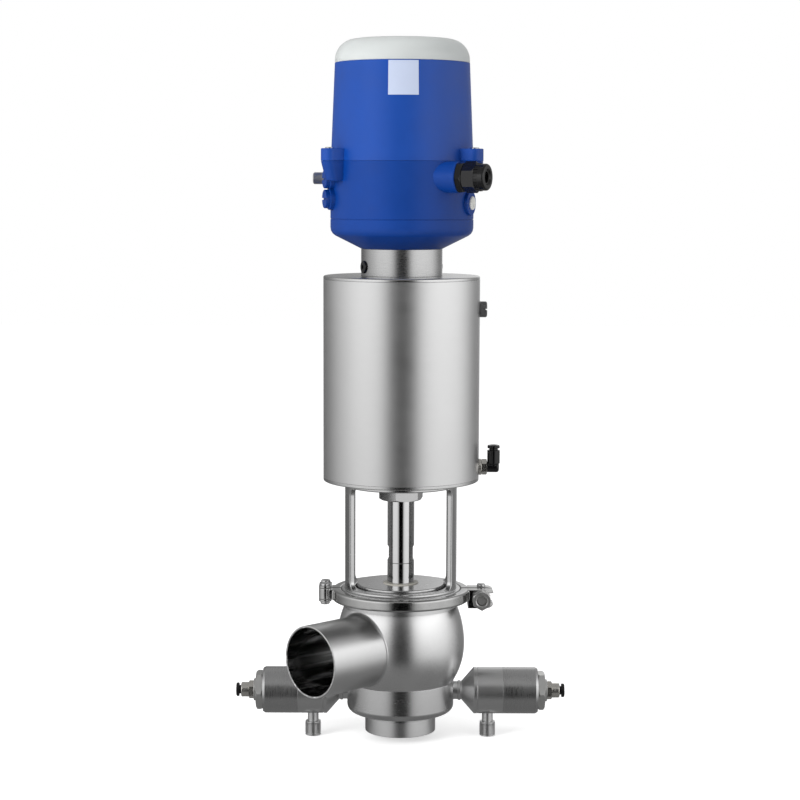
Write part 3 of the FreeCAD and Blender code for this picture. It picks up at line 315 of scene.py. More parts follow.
# Gives a piece its finish and the body of the CAD nodes that it stands for, and hides those nodes
def finished(piece, material, nodes, smoothAngle=38.0, body="valve_body"):
    piece.data.materials.clear()
    piece.data.materials.append(material)
    for face in piece.data.polygons:
        face.use_smooth = True
        face.material_index = 0
    piece.data.set_sharp_from_angle(angle=math.radians(smoothAngle))
    evener = piece.modifiers.new("even normals", "WEIGHTED_NORMAL")
    evener.keep_sharp = True
    settle(piece)
    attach(piece, bodyOf[nodes[0]] if nodes else body)
    if nodes:
        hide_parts(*nodes)
    return piece


# Makes a node; each input takes a value or the socket that feeds it
def node(tree, kind, inputs=(), **settings):
    made = tree.nodes.new(kind)
    for label, value in settings.items():
        setattr(made, label, value)
    for label, value in dict(inputs).items():
        if isinstance(value, bpy.types.NodeSocket):
            tree.links.new(value, made.inputs[label])
        else:
            made.inputs[label].default_value = value
    return made


def maths(tree, operation, first, second):
    return node(tree, "ShaderNodeMath", {0: first, 1: second}, operation=operation).outputs["Value"]


def ranged(tree, source, low, high, fromLow=0.3, fromHigh=0.7):
    return node(tree, "ShaderNodeMapRange", {
        "Value": source, "From Min": fromLow, "From Max": fromHigh, "To Min": low, "To Max": high,
    }).outputs["Result"]


# Materials: each reads object coordinates, in metres
def startMaterial(name, color, metallic, roughness):
    material = bpy.data.materials.new(name)
    material.use_nodes = True
    shader = material.node_tree.nodes["Principled BSDF"]
    shader.inputs["Base Color"].default_value = (*color, 1)
    shader.inputs["Metallic"].default_value = metallic
    shader.inputs["Roughness"].default_value = roughness
    return material, material.node_tree, shader


def noiseAt(tree, stretch, detail=3.0, roughness=0.55, place=None):
    if place is None:
        place = node(tree, "ShaderNodeTexCoord").outputs["Object"]
    mapping = node(tree, "ShaderNodeMapping", {"Vector": place, "Scale": stretch})
    return node(tree, "ShaderNodeTexNoise", {
        "Vector": mapping.outputs["Vector"], "Scale": 1.0, "Detail": detail, "Roughness": roughness,
    }).outputs["Fac"]


def shaded(tree, shader, source, dark, light):  # colour from dark to light along a pattern
    blend = node(tree, "ShaderNodeMix", {"Factor": source, "A": (*dark, 1), "B": (*light, 1)},
                 data_type="RGBA")
    tree.links.new(blend.outputs["Result"], shader.inputs["Base Color"])


def bumped(tree, shader, source, look):
    bump = node(tree, "ShaderNodeBump", {
        "Strength": look["bump"], "Distance": look["depth"], "Height": source})
    tree.links.new(bump.outputs["Normal"], shader.inputs["Normal"])


def scaled(color, share):
    return tuple(min(1.0, part * share) for part in color)


# grain is how finely the marks repeat along X, Y and Z, and cloud how finely stains do, both a metre
def metal(name, look):
    material, tree, shader = startMaterial(name, look["color"], 1.0, look["roughness"])
    grain = noiseAt(tree, look["grain"], 4.0)
    cloud = noiseAt(tree, (look["cloud"],) * 3)
    shaded(tree, shader, ranged(tree, cloud, 0.0, 1.0),
           scaled(look["color"], 1 - look["stain"]), scaled(look["color"], 1 + look["stain"] * 0.6))
    spread = look["spread"]
    mixed = maths(tree, "ADD", ranged(tree, grain, look["roughness"] - spread, look["roughness"] + spread),
                  ranged(tree, cloud, -spread * 0.5, spread * 0.5))
    tree.links.new(mixed, shader.inputs["Roughness"])
    bumped(tree, shader, grain, look)
    return material


def plastic(name, look):
    material, tree, shader = startMaterial(name, look["color"], 0.0, look["roughness"])
    grain = noiseAt(tree, (look["grain"],) * 3, 2.0)
    cloud = noiseAt(tree, (look["cloud"],) * 3)
    shaded(tree, shader, ranged(tree, cloud, 0.0, 1.0),
           scaled(look["color"], 1 - look["stain"]), scaled(look["color"], 1 + look["stain"]))
    uneven = ranged(tree, cloud, look["roughness"] - look["spread"], look["roughness"] + look["spread"])
    tree.links.new(uneven, shader.inputs["Roughness"])
    bumped(tree, shader, grain, look)
    shader.inputs["Specular IOR Level"].default_value = look.get("specular", 0.5)
    if "glow" in look:  # light that spreads under the surface
        shader.inputs["Subsurface Weight"].default_value = look["glow"]
        shader.inputs["Subsurface Radius"].default_value = (0.006, 0.006, 0.006)
        shader.inputs["Subsurface Scale"].default_value = 1.0
    return material


brushedSteel = metal("brushedSteel", {
    "color": (0.63, 0.63, 0.63), "roughness": 0.36, "spread": 0.035, "grain": (60, 60, 2600),
    "cloud": 22, "stain": 0.03, "bump": 0.10, "depth": 0.00004})
tubeLook = {
    "color": (0.62, 0.62, 0.62), "roughness": 0.33, "spread": 0.04, "grain": (900, 900, 900),
    "cloud": 30, "stain": 0.04, "bump": 0.08, "depth": 0.00005}
tubeSteel = metal("tubeSteel", tubeLook)
boreSteel = metal("boreSteel", tubeLook)
blastedSteel = metal("blastedSteel", {
    "color": (0.68, 0.68, 0.68), "roughness": 0.29, "spread": 0.03, "grain": (3200, 3200, 3200),
    "cloud": 26, "stain": 0.05, "bump": 0.16, "depth": 0.00005})
mirrorSteel = metal("mirrorSteel", {
    "color": (0.68, 0.68, 0.68), "roughness": 0.12, "spread": 0.03, "grain": (90, 90, 1500),
    "cloud": 60, "stain": 0.02, "bump": 0.05, "depth": 0.00002})
turnedSteel = metal("turnedSteel", {
    "color": (0.56, 0.56, 0.56), "roughness": 0.24, "spread": 0.03, "grain": (80, 80, 1600),
    "cloud": 40, "stain": 0.04, "bump": 0.02, "depth": 0.00002})
castSteel = metal("castSteel", {
    "color": (0.46, 0.46, 0.455), "roughness": 0.17, "spread": 0.04, "grain": (260, 260, 260),
    "cloud": 70, "stain": 0.08, "bump": 0.06, "depth": 0.00006})
fastenerSteel = metal("fastenerSteel", {
    "color": (0.64, 0.64, 0.63), "roughness": 0.37, "spread": 0.04, "grain": (900, 900, 900),
    "cloud": 120, "stain": 0.06, "bump": 0.04, "depth": 0.00003})
# A darker copy of the turned steel for the neck: painted shade from the head above it
neckSteelPaintedShade = metal("neckSteelPaintedShade", {
    "color": (0.44, 0.44, 0.44), "roughness": 0.27, "spread": 0.05, "grain": (80, 80, 2200),
    "cloud": 40, "stain": 0.04, "bump": 0.10, "depth": 0.00003})
darkSteel = metal("darkSteel", {
    "color": (0.50, 0.50, 0.50), "roughness": 0.30, "spread": 0.05, "grain": (2200, 80, 80),
    "cloud": 50, "stain": 0.05, "bump": 0.10, "depth": 0.00003})
nickelBrass = metal("nickelBrass", {
    "color": (0.68, 0.66, 0.62), "roughness": 0.25, "spread": 0.03, "grain": (400, 400, 400),
    "cloud": 120, "stain": 0.05, "bump": 0.04, "depth": 0.00003})
springSteel = metal("springSteel", {
    "color": (0.30, 0.30, 0.31), "roughness": 0.35, "spread": 0.06, "grain": (500, 500, 500),
    "cloud": 80, "stain": 0.10, "bump": 0.10, "depth": 0.00005})
pistonAluminium = metal("pistonAluminium", {
    "color": (0.74, 0.74, 0.75), "roughness": 0.30, "spread": 0.05, "grain": (90, 90, 1800),
    "cloud": 40, "stain": 0.04, "bump": 0.10, "depth": 0.00003})
bluePlastic = plastic("bluePlastic", {
    "color": (0.0010, 0.050, 0.30), "roughness": 0.44, "spread": 0.03, "grain": 2600, "cloud": 35,
    "stain": 0.05, "bump": 0.10, "depth": 0.00004, "specular": 0.42})
# A darker, less glossy copy of the cover's blue for the head base and blank plugs: painted shade
bluePlasticPaintedShade = plastic("bluePlasticPaintedShade", {
    "color": (0.0007, 0.038, 0.235), "roughness": 0.42, "spread": 0.03, "grain": 2600, "cloud": 35,
    "stain": 0.05, "bump": 0.10, "depth": 0.00004, "specular": 0.26})
domePlastic = plastic("domePlastic", {
    "color": (0.55, 0.575, 0.57), "roughness": 0.38, "spread": 0.02, "grain": 1800, "cloud": 25,
    "stain": 0.02, "bump": 0.04, "depth": 0.00003, "glow": 0.5})
labelFilm = plastic("labelFilm", {
    "color": (0.47, 0.53, 0.68), "roughness": 0.42, "spread": 0.02, "grain": 2600, "cloud": 60,
    "stain": 0.015, "bump": 0.05, "depth": 0.00002})
blackPlastic = plastic("blackPlastic", {
    "color": (0.005, 0.005, 0.0055), "roughness": 0.15, "spread": 0.04, "grain": 1500, "cloud": 120,
    "stain": 0.2, "bump": 0.04, "depth": 0.00003, "specular": 0.42})
greyPlastic = plastic("greyPlastic", {
    "color": (0.075, 0.075, 0.078), "roughness": 0.42, "spread": 0.05, "grain": 1800, "cloud": 120,
    "stain": 0.12, "bump": 0.10, "depth": 0.00004})
whitePlastic = plastic("whitePlastic", {
    "color": (0.74, 0.74, 0.70), "roughness": 0.50, "spread": 0.03, "grain": 2000, "cloud": 200,
    "stain": 0.06, "bump": 0.08, "depth": 0.00004})
bearingPlastic = plastic("bearingPlastic", {
    "color": (0.52, 0.50, 0.45), "roughness": 0.40, "spread": 0.03, "grain": 2000, "cloud": 90,
    "stain": 0.05, "bump": 0.06, "depth": 0.00003})
sealRubber = plastic("sealRubber", {
    "color": (0.018, 0.018, 0.019), "roughness": 0.62, "spread": 0.05, "grain": 2200, "cloud": 150,
    "stain": 0.2, "bump": 0.12, "depth": 0.00005})
boardLaminate = plastic("boardLaminate", {
    "color": (0.02, 0.16, 0.06), "roughness": 0.35, "spread": 0.05, "grain": 1200, "cloud": 200,
    "stain": 0.2, "bump": 0.10, "depth": 0.00004})

# The side tube's bore is polished, with drawing marks along it that vary its roughness, and lighter streaks
# in its colour along the marks that are painted reflection; a point near the tube's axis is in it
boreLook = {"marks": (14, 260, 260), "paintedStreakLight": (0.42, 1.0), "streakLightSpan": (0.50, 0.66), "gloss": (0.22, 0.10)}


def boreMarksAndStreakLight(material, azimuth, height, radius):
    tree = material.node_tree
    shader = tree.nodes["Principled BSDF"]
    along = node(tree, "ShaderNodeMapping", {
        "Vector": node(tree, "ShaderNodeTexCoord").outputs["Object"],
        "Rotation": (0, 0, math.radians(90 - azimuth)), "Location": (0, 0, -height * mm)}).outputs["Vector"]
    flat = node(tree, "ShaderNodeVectorMath", {0: along, 1: (0, 1, 1)}, operation="MULTIPLY")
    away = node(tree, "ShaderNodeVectorMath", {0: flat.outputs["Vector"]}, operation="LENGTH")
    within = maths(tree, "LESS_THAN", away.outputs["Value"], radius * mm)
    marks = noiseAt(tree, boreLook["marks"], 2.0, 0.5, along)
    # Inside the bore the colour runs from dark to light along the marks, which is painted reflection; the
    # gloss along them is the real drawing marks
    for label, inner in (("Base Color", ranged(tree, marks, *boreLook["paintedStreakLight"], *boreLook["streakLightSpan"])),
                         ("Roughness", ranged(tree, marks, *boreLook["gloss"]))):
        outer = shader.inputs[label].links[0].from_socket
        blend = node(tree, "ShaderNodeMix", {"Factor": within, "A": outer, "B": inner}, data_type="RGBA")
        tree.links.new(blend.outputs["Result"], shader.inputs[label])


print("materials made")

# The finish of each CAD node that stays as it is, by its slot in the record
finishes = {
    "brushed_stainless": brushedSteel, "satin_stainless": blastedSteel, "polished_stainless": mirrorSteel,
    "cast_stainless": castSteel, "spring_steel": springSteel, "aluminium": pistonAluminium,
    "blue_plastic": bluePlastic, "dome_plastic": domePlastic, "black_plastic": blackPlastic,
    "grey_plastic": greyPlastic, "white_plastic": whitePlastic, "bearing_plastic": bearingPlastic,
    "board_green": boardLaminate, "seal_rubber": sealRubber}
for part in frame["record"]["subparts"]:
    solid = frame["nodes"][part["node"]]
    solid.data.materials.clear()
    solid.data.materials.append(finishes[part["material_slot"]])
    for face in solid.data.polygons:
        face.material_index = 0
print("CAD nodes painted")

# Camera, matched to the ellipses in the photo
view = {"lens": 90, "sensor": 36, "place": (-0.0013, -1.955, 0.536), "lean": 84.0, "roll": 0.19}
camera = bpy.data.objects.new("camera", bpy.data.cameras.new("camera"))
scene.collection.objects.link(camera)
scene.camera = camera
camera.data.lens = view["lens"]
camera.data.sensor_width = view["sensor"]
camera.data.clip_start = 0.05
camera.data.clip_end = 60
camera.location = view["place"]
camera.rotation_mode = "QUATERNION"
lean = (Matrix.Rotation(math.radians(view["lean"]), 4, "X") @
        Matrix.Rotation(math.radians(view["roll"]), 4, "Z"))
camera.rotation_quaternion = lean.to_quaternion()
scene.view_settings.view_transform = "Standard"

# White surroundings for the camera, and a dimmer fill for the light on the object
world = bpy.data.worlds.new("surroundings")
scene.world = world
world.use_nodes = True
worldTree = world.node_tree
rays = node(worldTree, "ShaderNodeLightPath").outputs
seen = maths(worldTree, "MAXIMUM", rays["Is Camera Ray"], rays["Is Transmission Ray"])
seen = maths(worldTree, "MAXIMUM", seen, rays["Is Glossy Ray"])
fill = 0.50
worldShader = worldTree.nodes["Background"]
worldShader.inputs["Color"].default_value = (1, 1, 1, 1)
worldTree.links.new(ranged(worldTree, seen, fill, 1.0, 0.0, 1.0), worldShader.inputs["Strength"])

# The tent that the metal mirrors, seen by glossy rays only: bright and dark bands by azimuth.
# The stops are (share of the way round from the back, brightness); 0.5 is the camera's side.
# By height, heights scales the bands and fade blends them into one even level.
tent = {"radius": 1.9, "middle": 0.36, "even": 0.60,
        "bands": [(0.0, 0.45), (0.04, 0.20), (0.10, 0.22), (0.16, 0.42), (0.217, 0.76), (0.275, 1.04),
                  (0.33, 1.30), (0.39, 1.34), (0.425, 1.08), (0.452, 0.48), (0.470, 0.0), (0.530, 0.0),
                  (0.556, 0.50), (0.59, 1.25), (0.64, 1.42), (0.72, 1.36), (0.785, 0.98), (0.83, 0.56),
                  (0.87, 0.34), (0.92, 0.34), (0.965, 0.85), (1.0, 0.45)],
        "fade": [(0.0, 1.0), (0.14, 1.0), (0.30, 0.0), (0.66, 0.0), (0.82, 1.0), (1.0, 1.0)],
        "heights": [(0.0, 0.36), (0.20, 0.38), (0.27, 0.44), (0.32, 0.64), (0.38, 0.72), (0.46, 0.92),
                    (0.56, 1.05), (0.62, 1.25), (0.70, 1.10), (0.80, 0.72), (1.0, 0.60)]}
tentMesh = bmesh.new()
bmesh.ops.create_uvsphere(tentMesh, u_segments=64, v_segments=32, radius=tent["radius"])
tentPiece = newPiece("tent", meshFrom(tentMesh, "tent"))
tentPiece.location = (0, 0, tent["middle"])
tentPaint = bpy.data.materials.new("tentPaint")
tentPaint.use_nodes = True
tentTree = tentPaint.node_tree
tentTree.nodes.clear()


def tentRamp(source, reach, stops):
    fit = ranged(tentTree, source, 0.0, 1.0, -reach, reach)
    curve = node(tentTree, "ShaderNodeFloatCurve", {"Value": fit})
    line = curve.mapping.curves[0]
    curve.mapping.use_clip = False
    line.points[0].location = stops[0]
    line.points[1].location = stops[-1]
    for stop in stops[1:-1]:
        line.points.new(*stop)
    for point in line.points:
        point.handle_type = "AUTO_CLAMPED"
    curve.mapping.update()
    return curve.outputs["Value"]


tentPlace = node(tentTree, "ShaderNodeTexCoord").outputs["Object"]
tentSplit = node(tentTree, "ShaderNodeSeparateXYZ", {"Vector": tentPlace}).outputs
around = maths(tentTree, "ARCTAN2", tentSplit["X"], maths(tentTree, "MULTIPLY", tentSplit["Y"], -1.0))
bands = tentRamp(around, math.pi, tent["bands"])
levels = tentRamp(tentSplit["Z"], tent["radius"], tent["heights"])
fade = tentRamp(tentSplit["Z"], tent["radius"], tent["fade"])
evened = node(tentTree, "ShaderNodeMix", {"Factor": fade, "A": bands, "B": tent["even"]})
glow = maths(tentTree, "MULTIPLY", evened.outputs["Result"], levels)
emission = node(tentTree, "ShaderNodeEmission", {"Strength": glow})
node(tentTree, "ShaderNodeOutputMaterial", {"Surface": emission.outputs["Emission"]})
tentPiece.data.materials.append(tentPaint)
tentPiece.visible_camera = False
tentPiece.visible_diffuse = False
tentPiece.visible_transmission = False
tentPiece.visible_shadow = False

# Pale floor that keeps the object's shadow, lifted to white for the camera alone
floor = {"size": 6.0, "gap": 0.0006, "lift": 0.55}
floorMesh = bmesh.new()
bmesh.ops.create_grid(floorMesh, x_segments=1, y_segments=1, size=floor["size"])
floorPiece = newPiece("floor", meshFrom(floorMesh, "floor"))
floorPiece.location = (0, 0, cadBounds[0][2] - floor["gap"])
floorPaint, floorTree, floorShader = startMaterial("floorPaint", (0.98, 0.98, 0.98), 0.0, 0.9)
floorShader.inputs["Specular IOR Level"].default_value = 0.0
floorShader.inputs["Emission Color"].default_value = (1, 1, 1, 1)
floorRays = node(floorTree, "ShaderNodeLightPath").outputs
floorTree.links.new(maths(floorTree, "MULTIPLY", floorRays["Is Camera Ray"], floor["lift"]),
                    floorShader.inputs["Emission Strength"])
floorPiece.data.materials.append(floorPaint)
floorPiece.visible_glossy = False

# Soft lamps left and right of the camera, for the plastic: name, place and power
lamps = [("left", (-1.45, -1.2, 0.95), 28.0), ("right", (1.45, -1.35, 0.85), 4.0),
         ("over", (0.1, -0.4, 2.3), 9.0)]
for name, place, power in lamps:
    lamp = bpy.data.objects.new(name + "Lamp", bpy.data.lights.new(name + "Lamp", "AREA"))
    scene.collection.objects.link(lamp)
    lamp.data.shape = "RECTANGLE"
    lamp.data.size = 0.8
    lamp.data.size_y = 1.2
    lamp.data.energy = power
    lamp.location = place
    lamp.visible_glossy = False
    lamp.rotation_mode = "QUATERNION"
    lamp.rotation_quaternion = (Vector((0, 0, tent["middle"])) - Vector(place)).to_track_quat("-Z", "Y")
print("studio made")

# Lower tube end and the seat housing with its leak chamber
port = {"outer": 35.0, "bore": 33.0, "stub": 15.0}
finished(turned("lowerPort", [
    (port["bore"], 0.0, 0.5), (port["outer"], 0.0, 0.5), (port["outer"], port["stub"], 0.0),
    (port["bore"], port["stub"], 0.0)], 192), tubeSteel, ["lower_port"])

seat = {"radius": 53.0, "base": 20.0, "top": 51.0, "seatR": 34.0, "seatLow": 22.0, "leakR": 45.0,
        "leakLow": 33.0, "leakHigh": 46.5, "upperR": 38.0, "bevel": 1.0, "holeR": 5.0, "holeZ": 39.75}
seatHousing = turned("seatHousing", [
    (port["bore"], port["stub"], 0.0), (port["outer"], port["stub"], 0.0),
    (port["outer"], seat["base"], 4.5), (seat["radius"], seat["base"], 7.0),
    (seat["radius"], seat["top"], 0.35), (seat["upperR"], seat["top"], 0.3),
    (seat["upperR"], seat["leakHigh"]), (seat["leakR"], seat["leakHigh"]), (seat["leakR"], seat["leakLow"]),
    (seat["seatR"] + seat["bevel"], seat["leakLow"]), (seat["seatR"], seat["leakLow"] - seat["bevel"]),
    (seat["seatR"], seat["seatLow"]), (port["bore"], seat["seatLow"] - seat["bevel"])], 192, 0.2)
for azimuth in (-90, 90):
    cut(seatHousing, rod("leak hole", seat["holeR"], seat["leakR"] - 2, seat["radius"] + 1, 48,
                         outward(azimuth, seat["holeZ"])))
# The seat housing takes the darker turned steel rather than the ball's blasted steel: painted shade
finished(seatHousing, turnedSteel, ["seat_housing"])
print("seat housing made")

# Ball body: each half of its outline is an arc that stands upright at the widest circle
ball = {"middle": 88.0, "wide": 63.4, "footR": 52.6, "footDrop": 37.0, "topR": 55.9, "topRise": 38.0,
        "wall": 2.5, "ferruleR": 55.5, "ferruleBore": 51.5, "flangeR": 62.5, "coneBase": 134.6,
        "coneTop": 136.0, "flangeTop": 137.2}
ballFoot = ball["middle"] - ball["footDrop"]
ballTop = ball["middle"] + ball["topRise"]


def ballArc(rise, shrink=0.0):  # the widest radius, and the bend of the arc above or below it
    edge, reach = (ball["topR"], ball["topRise"]) if rise > 0 else (ball["footR"], ball["footDrop"])
    inset = ball["wide"] - edge
    return ball["wide"] - shrink, (reach ** 2 + inset ** 2) / (2 * inset)


def ballAt(rise, shrink=0.0):  # the ball's radius at a height above its middle
    wide, bend = ballArc(rise, shrink)
    return wide - bend + math.sqrt(bend * bend - rise * rise)


def ballOutline(shrink, steps=26):
    points = []
    for step in range(steps + 1):
        rise = -ball["footDrop"] + (ball["topRise"] + ball["footDrop"]) * step / steps
        points.append((ballAt(rise, shrink), ball["middle"] + rise, 0.0))
    return points


sideTube = {"azimuth": -45.0, "start": 20.0, "reach": 122.0}
sideLine = outward(sideTube["azimuth"], ball["middle"])
outside = ballOutline(0.0)
inside = ballOutline(ball["wall"])
upperHousing = turned("upperHousing", outside + [
    (ball["ferruleR"], ballTop, 0.0), (ball["ferruleR"], ball["coneBase"], 0.5),
    (ball["flangeR"], ball["coneTop"], 0.4), (ball["flangeR"], ball["flangeTop"], 0.2),
    (ball["ferruleBore"], ball["flangeTop"], 0.3), (ball["ferruleBore"], ballTop, 0.3)] + inside[::-1], 256)
cut(upperHousing, rod("side bore", port["bore"], 5.0, 130.0, 160, sideLine))
finished(upperHousing, blastedSteel, ["upper_housing"], 50.0)
sidePort = turned("sidePort", [
    (port["bore"], sideTube["start"], 0.0), (port["outer"], sideTube["start"], 0.0),
    (port["outer"], sideTube["reach"], 0.5), (port["bore"], sideTube["reach"], 0.5)], 192, 0.0, sideLine)
cut(sidePort, turned("ball block", [(0, ballFoot)] + outside + [(0, ballTop)], 256, 0.0))

# Weld bead where the tube meets the ball, wider and flatter over the top
bead = {"steps": 224, "reach": 1.0, "topReach": 6.0, "lift": 0.7, "root": 0.7, "shorter": 0.45,
        "flatter": 0.6, "near": 0.004}
along = polar(1, sideTube["azimuth"])
across = along.cross(upright)


def seamPoint(angle):
    rise = port["outer"] * math.sin(angle)
    aside = port["outer"] * math.cos(angle)
    reach = math.sqrt(ballAt(rise) ** 2 - aside ** 2)
    return along * reach + across * aside + upright * (ball["middle"] + rise)


def beadRing(angle):
    here = seamPoint(angle)
    run = (seamPoint(angle + bead["near"]) - seamPoint(angle - bead["near"])).normalized()
    tubeOut = (across * math.cos(angle) + upright * math.sin(angle)).normalized()
    flat = Vector((here.x, here.y, 0))
    rise = here.z - ball["middle"]
    wide, bend = ballArc(rise)
    ballOut = (flat.normalized() * (flat.length - wide + bend) + upright * rise).normalized()
    bothOut = (tubeOut + ballOut).normalized()
    onTube = run.cross(tubeOut).normalized()
    onTube = onTube if onTube.dot(along) > 0 else -onTube
    onBall = run.cross(ballOut).normalized()
    onBall = onBall if onBall.dot(tubeOut) > 0 else -onBall
    share = max(0.0, math.sin(angle)) ** 6
    reach = bead["reach"] + (bead["topReach"] - bead["reach"]) * share
    start = here + onTube * reach
    end = here + onBall * reach * (1 - bead["shorter"] * share)
    lifted = here + bothOut * bead["lift"] * (1 - bead["flatter"] * share)
    ring = []
    for number in range(9):
        t = number / 8
        ring.append(start * (1 - t) ** 2 + lifted * 2 * t * (1 - t) + end * t ** 2)
    root = bead["root"]
    return ring + [end - ballOut * root, here - bothOut * root, start - tubeOut * root]


beadRings = [beadRing(2 * math.pi * step / bead["steps"]) for step in range(bead["steps"])]
sidePort = join("sidePort", [sidePort, swept("weldBead", beadRings, True)])
boreMarksAndStreakLight(boreSteel, sideTube["azimuth"], ball["middle"], port["bore"] + 1)
finished(sidePort, boreSteel, ["side_port"], 45.0)
print("ball and side tube made")

# Bonnet with its hub, groove and boss, and the bush round the stem
bonnet = {"bore": 13.58, "low": 124.0, "hubR": 24.0, "plateLow": 131.0, "plateR": 51.2, "grooveR": 49.3,
          "grooveLow": 132.5, "grooveHigh": 135.5, "flangeTop": 139.2, "bossR": 43.3, "top": 148.5,
          "bushR": 17.5, "bushLow": 126.1}
finished(turned("bonnet", [
    (bonnet["bore"], bonnet["low"]), (bonnet["hubR"], bonnet["low"], 2.0),
    (bonnet["hubR"], bonnet["plateLow"]), (bonnet["plateR"], bonnet["plateLow"]),
    (bonnet["plateR"], bonnet["grooveLow"]), (bonnet["grooveR"], bonnet["grooveLow"]),
    (bonnet["grooveR"], bonnet["grooveHigh"]), (bonnet["plateR"], bonnet["grooveHigh"]),
    (bonnet["plateR"], ball["flangeTop"], 0.0), (ball["flangeR"], ball["flangeTop"], 0.2),
    (ball["flangeR"], bonnet["flangeTop"], 0.3), (bonnet["bossR"], bonnet["flangeTop"], 0.6),
    (bonnet["bossR"], bonnet["top"], 1.2), (bonnet["bushR"], bonnet["top"], 0.2),
    (bonnet["bushR"], bonnet["bushLow"], 0.2), (bonnet["bore"], bonnet["bushLow"])], 192),
    turnedSteel, ["bonnet"])
bush = {"bore": 13.37, "radius": 17.45, "low": lowOf("stem_bush"), "high": highOf("stem_bush")}
finished(turned("stemBush", [
    (bush["bore"], bush["low"], 0.2), (bush["radius"], bush["low"], 0.2),
    (bush["radius"], bush["high"], 0.5), (bush["bore"], bush["high"], 0.4)], 96),
    bearingPlastic, ["stem_bush"])

# Lantern: a foot ring, a head ring and two legs whose edges run into them
lantern = {"outer": 55.2, "inner": 50.0, "ringIn": 45.0, "lipTop": 140.2, "stepR": 59.0, "stepLow": 141.2,
           "stepTop": 143.8, "foot": 146.0, "head": 246.0, "top": 251.8, "halfAngle": 25.8, "corner": 8.0,
           "edge": 1.3, "overlap": 2.2, "tuck": 0.04}
footRing = turned("footRing", [
    (lantern["ringIn"], bonnet["flangeTop"], 0.3), (ball["flangeR"], bonnet["flangeTop"], 0.2),
    (ball["flangeR"], lantern["lipTop"], 0.3), (lantern["stepR"], lantern["stepLow"], 0.4),
    (lantern["stepR"], lantern["stepTop"], 1.4), (lantern["outer"], lantern["stepTop"], 1.3),
    (lantern["outer"], lantern["foot"], 0.9), (lantern["ringIn"], lantern["foot"], 1.0)], 256)
headRing = turned("headRing", [
    (lantern["ringIn"], lantern["top"], 0.2), (lantern["ringIn"], lantern["head"], 0.8),
    (lantern["outer"], lantern["head"], 1.2), (lantern["outer"], lantern["top"], 0.0)], 256)


def legRing(azimuth, height):  # the leg's section at a height, wider where it runs into a ring
    corner = lantern["corner"]
    near = min(max(height - lantern["foot"], 0.0), max(lantern["head"] - height, 0.0), corner)
    flare = corner - math.sqrt(corner ** 2 - (corner - near) ** 2)
    tuck = 0.0 if lantern["foot"] <= height <= lantern["head"] else lantern["tuck"]
    outer = lantern["outer"] - tuck
    inner = lantern["inner"] + tuck
    edge = lantern["edge"]
    width = (math.radians(lantern["halfAngle"]) + flare / lantern["outer"]) * outer
    flat = []  # distance along the wall, and radius
    for way, wall, first, last in ((1, outer, outer - edge, inner + edge),
                                   (-1, inner, inner + edge, outer - edge)):
        middle = way * (width - edge)
        for number in range(25):
            flat.append((middle * (number / 12 - 1), wall))
        flat += arc((middle, first), edge, way * 90, way * 90 - 90, 6)[1:-1]
        flat += [(way * width, first), (way * width, last)]
        flat += arc((middle, last), edge, way * 90 - 90, way * 90 - 180, 6)[1:-1]
    return [polar(point[1], azimuth + math.degrees(point[0] / outer), height) for point in flat]


heights = [lantern["foot"] - lantern["overlap"], lantern["foot"] - 0.01]
for number in range(13):
    heights.append(lantern["foot"] + lantern["corner"] * (1 - math.cos(math.radians(90 * number / 12))))
for number in range(1, 8):
    heights.append(lantern["foot"] + lantern["corner"] +
                   (lantern["head"] - lantern["foot"] - 2 * lantern["corner"]) * number / 8)
for number in range(13):
    heights.append(lantern["head"] - lantern["corner"] * (1 - math.sin(math.radians(90 * number / 12))))
heights += [lantern["head"] + 0.01, lantern["head"] + lantern["overlap"]]
legs = [swept("leg", [legRing(azimuth, height) for height in heights]) for azimuth in (-90, 90)]
finished(join("lantern", [footRing, headRing] + legs), turnedSteel, ["lantern"], 50.0)
print("lantern made")


# Node trees for what repeats: pieces set round a circle, and a thread wound on a rod
def startTree(name, sockets):
    tree = bpy.data.node_groups.new(name, "GeometryNodeTree")
    tree.interface.new_socket("Geometry", in_out="OUTPUT", socket_type="NodeSocketGeometry")
    for label, kind in sockets:
        tree.interface.new_socket(label, in_out="INPUT", socket_type="NodeSocket" + kind)
    return tree, node(tree, "NodeGroupInput").outputs


def closeTree(tree, geometry, finish):
    real = node(tree, "GeometryNodeRealizeInstances", {"Geometry": geometry})
    paint = node(tree, "GeometryNodeSetMaterial", {
        "Geometry": real.outputs["Geometry"], "Material": finish})
    node(tree, "NodeGroupOutput", {"Geometry": paint.outputs["Geometry"]})


circleTree, wanted = startTree("pieces round a circle", [
    ("Source", "Object"), ("Count", "Int"), ("Radius", "Float"), ("Turn", "Vector"), ("Place", "Vector"),
    ("Finish", "Material")])
circle = node(circleTree, "GeometryNodeMeshCircle", {
    "Vertices": wanted["Count"], "Radius": wanted["Radius"]})
spun = node(circleTree, "GeometryNodeTransform", {
    "Geometry": circle.outputs["Mesh"], "Rotation": wanted["Turn"]})
source = node(circleTree, "GeometryNodeObjectInfo", {"Object": wanted["Source"]})
spot = node(circleTree, "GeometryNodeInputPosition").outputs["Position"]
facing = node(circleTree, "FunctionNodeAlignRotationToVector", {"Vector": spot}, axis="X", pivot_axis="Z")
copies = node(circleTree, "GeometryNodeInstanceOnPoints", {
    "Points": spun.outputs["Geometry"], "Instance": source.outputs["Geometry"],
    "Rotation": facing.outputs["Rotation"]})
raised = node(circleTree, "GeometryNodeTransform", {
    "Geometry": copies.outputs["Instances"], "Translation": wanted["Place"]})
closeTree(circleTree, raised.outputs["Geometry"], wanted["Finish"])

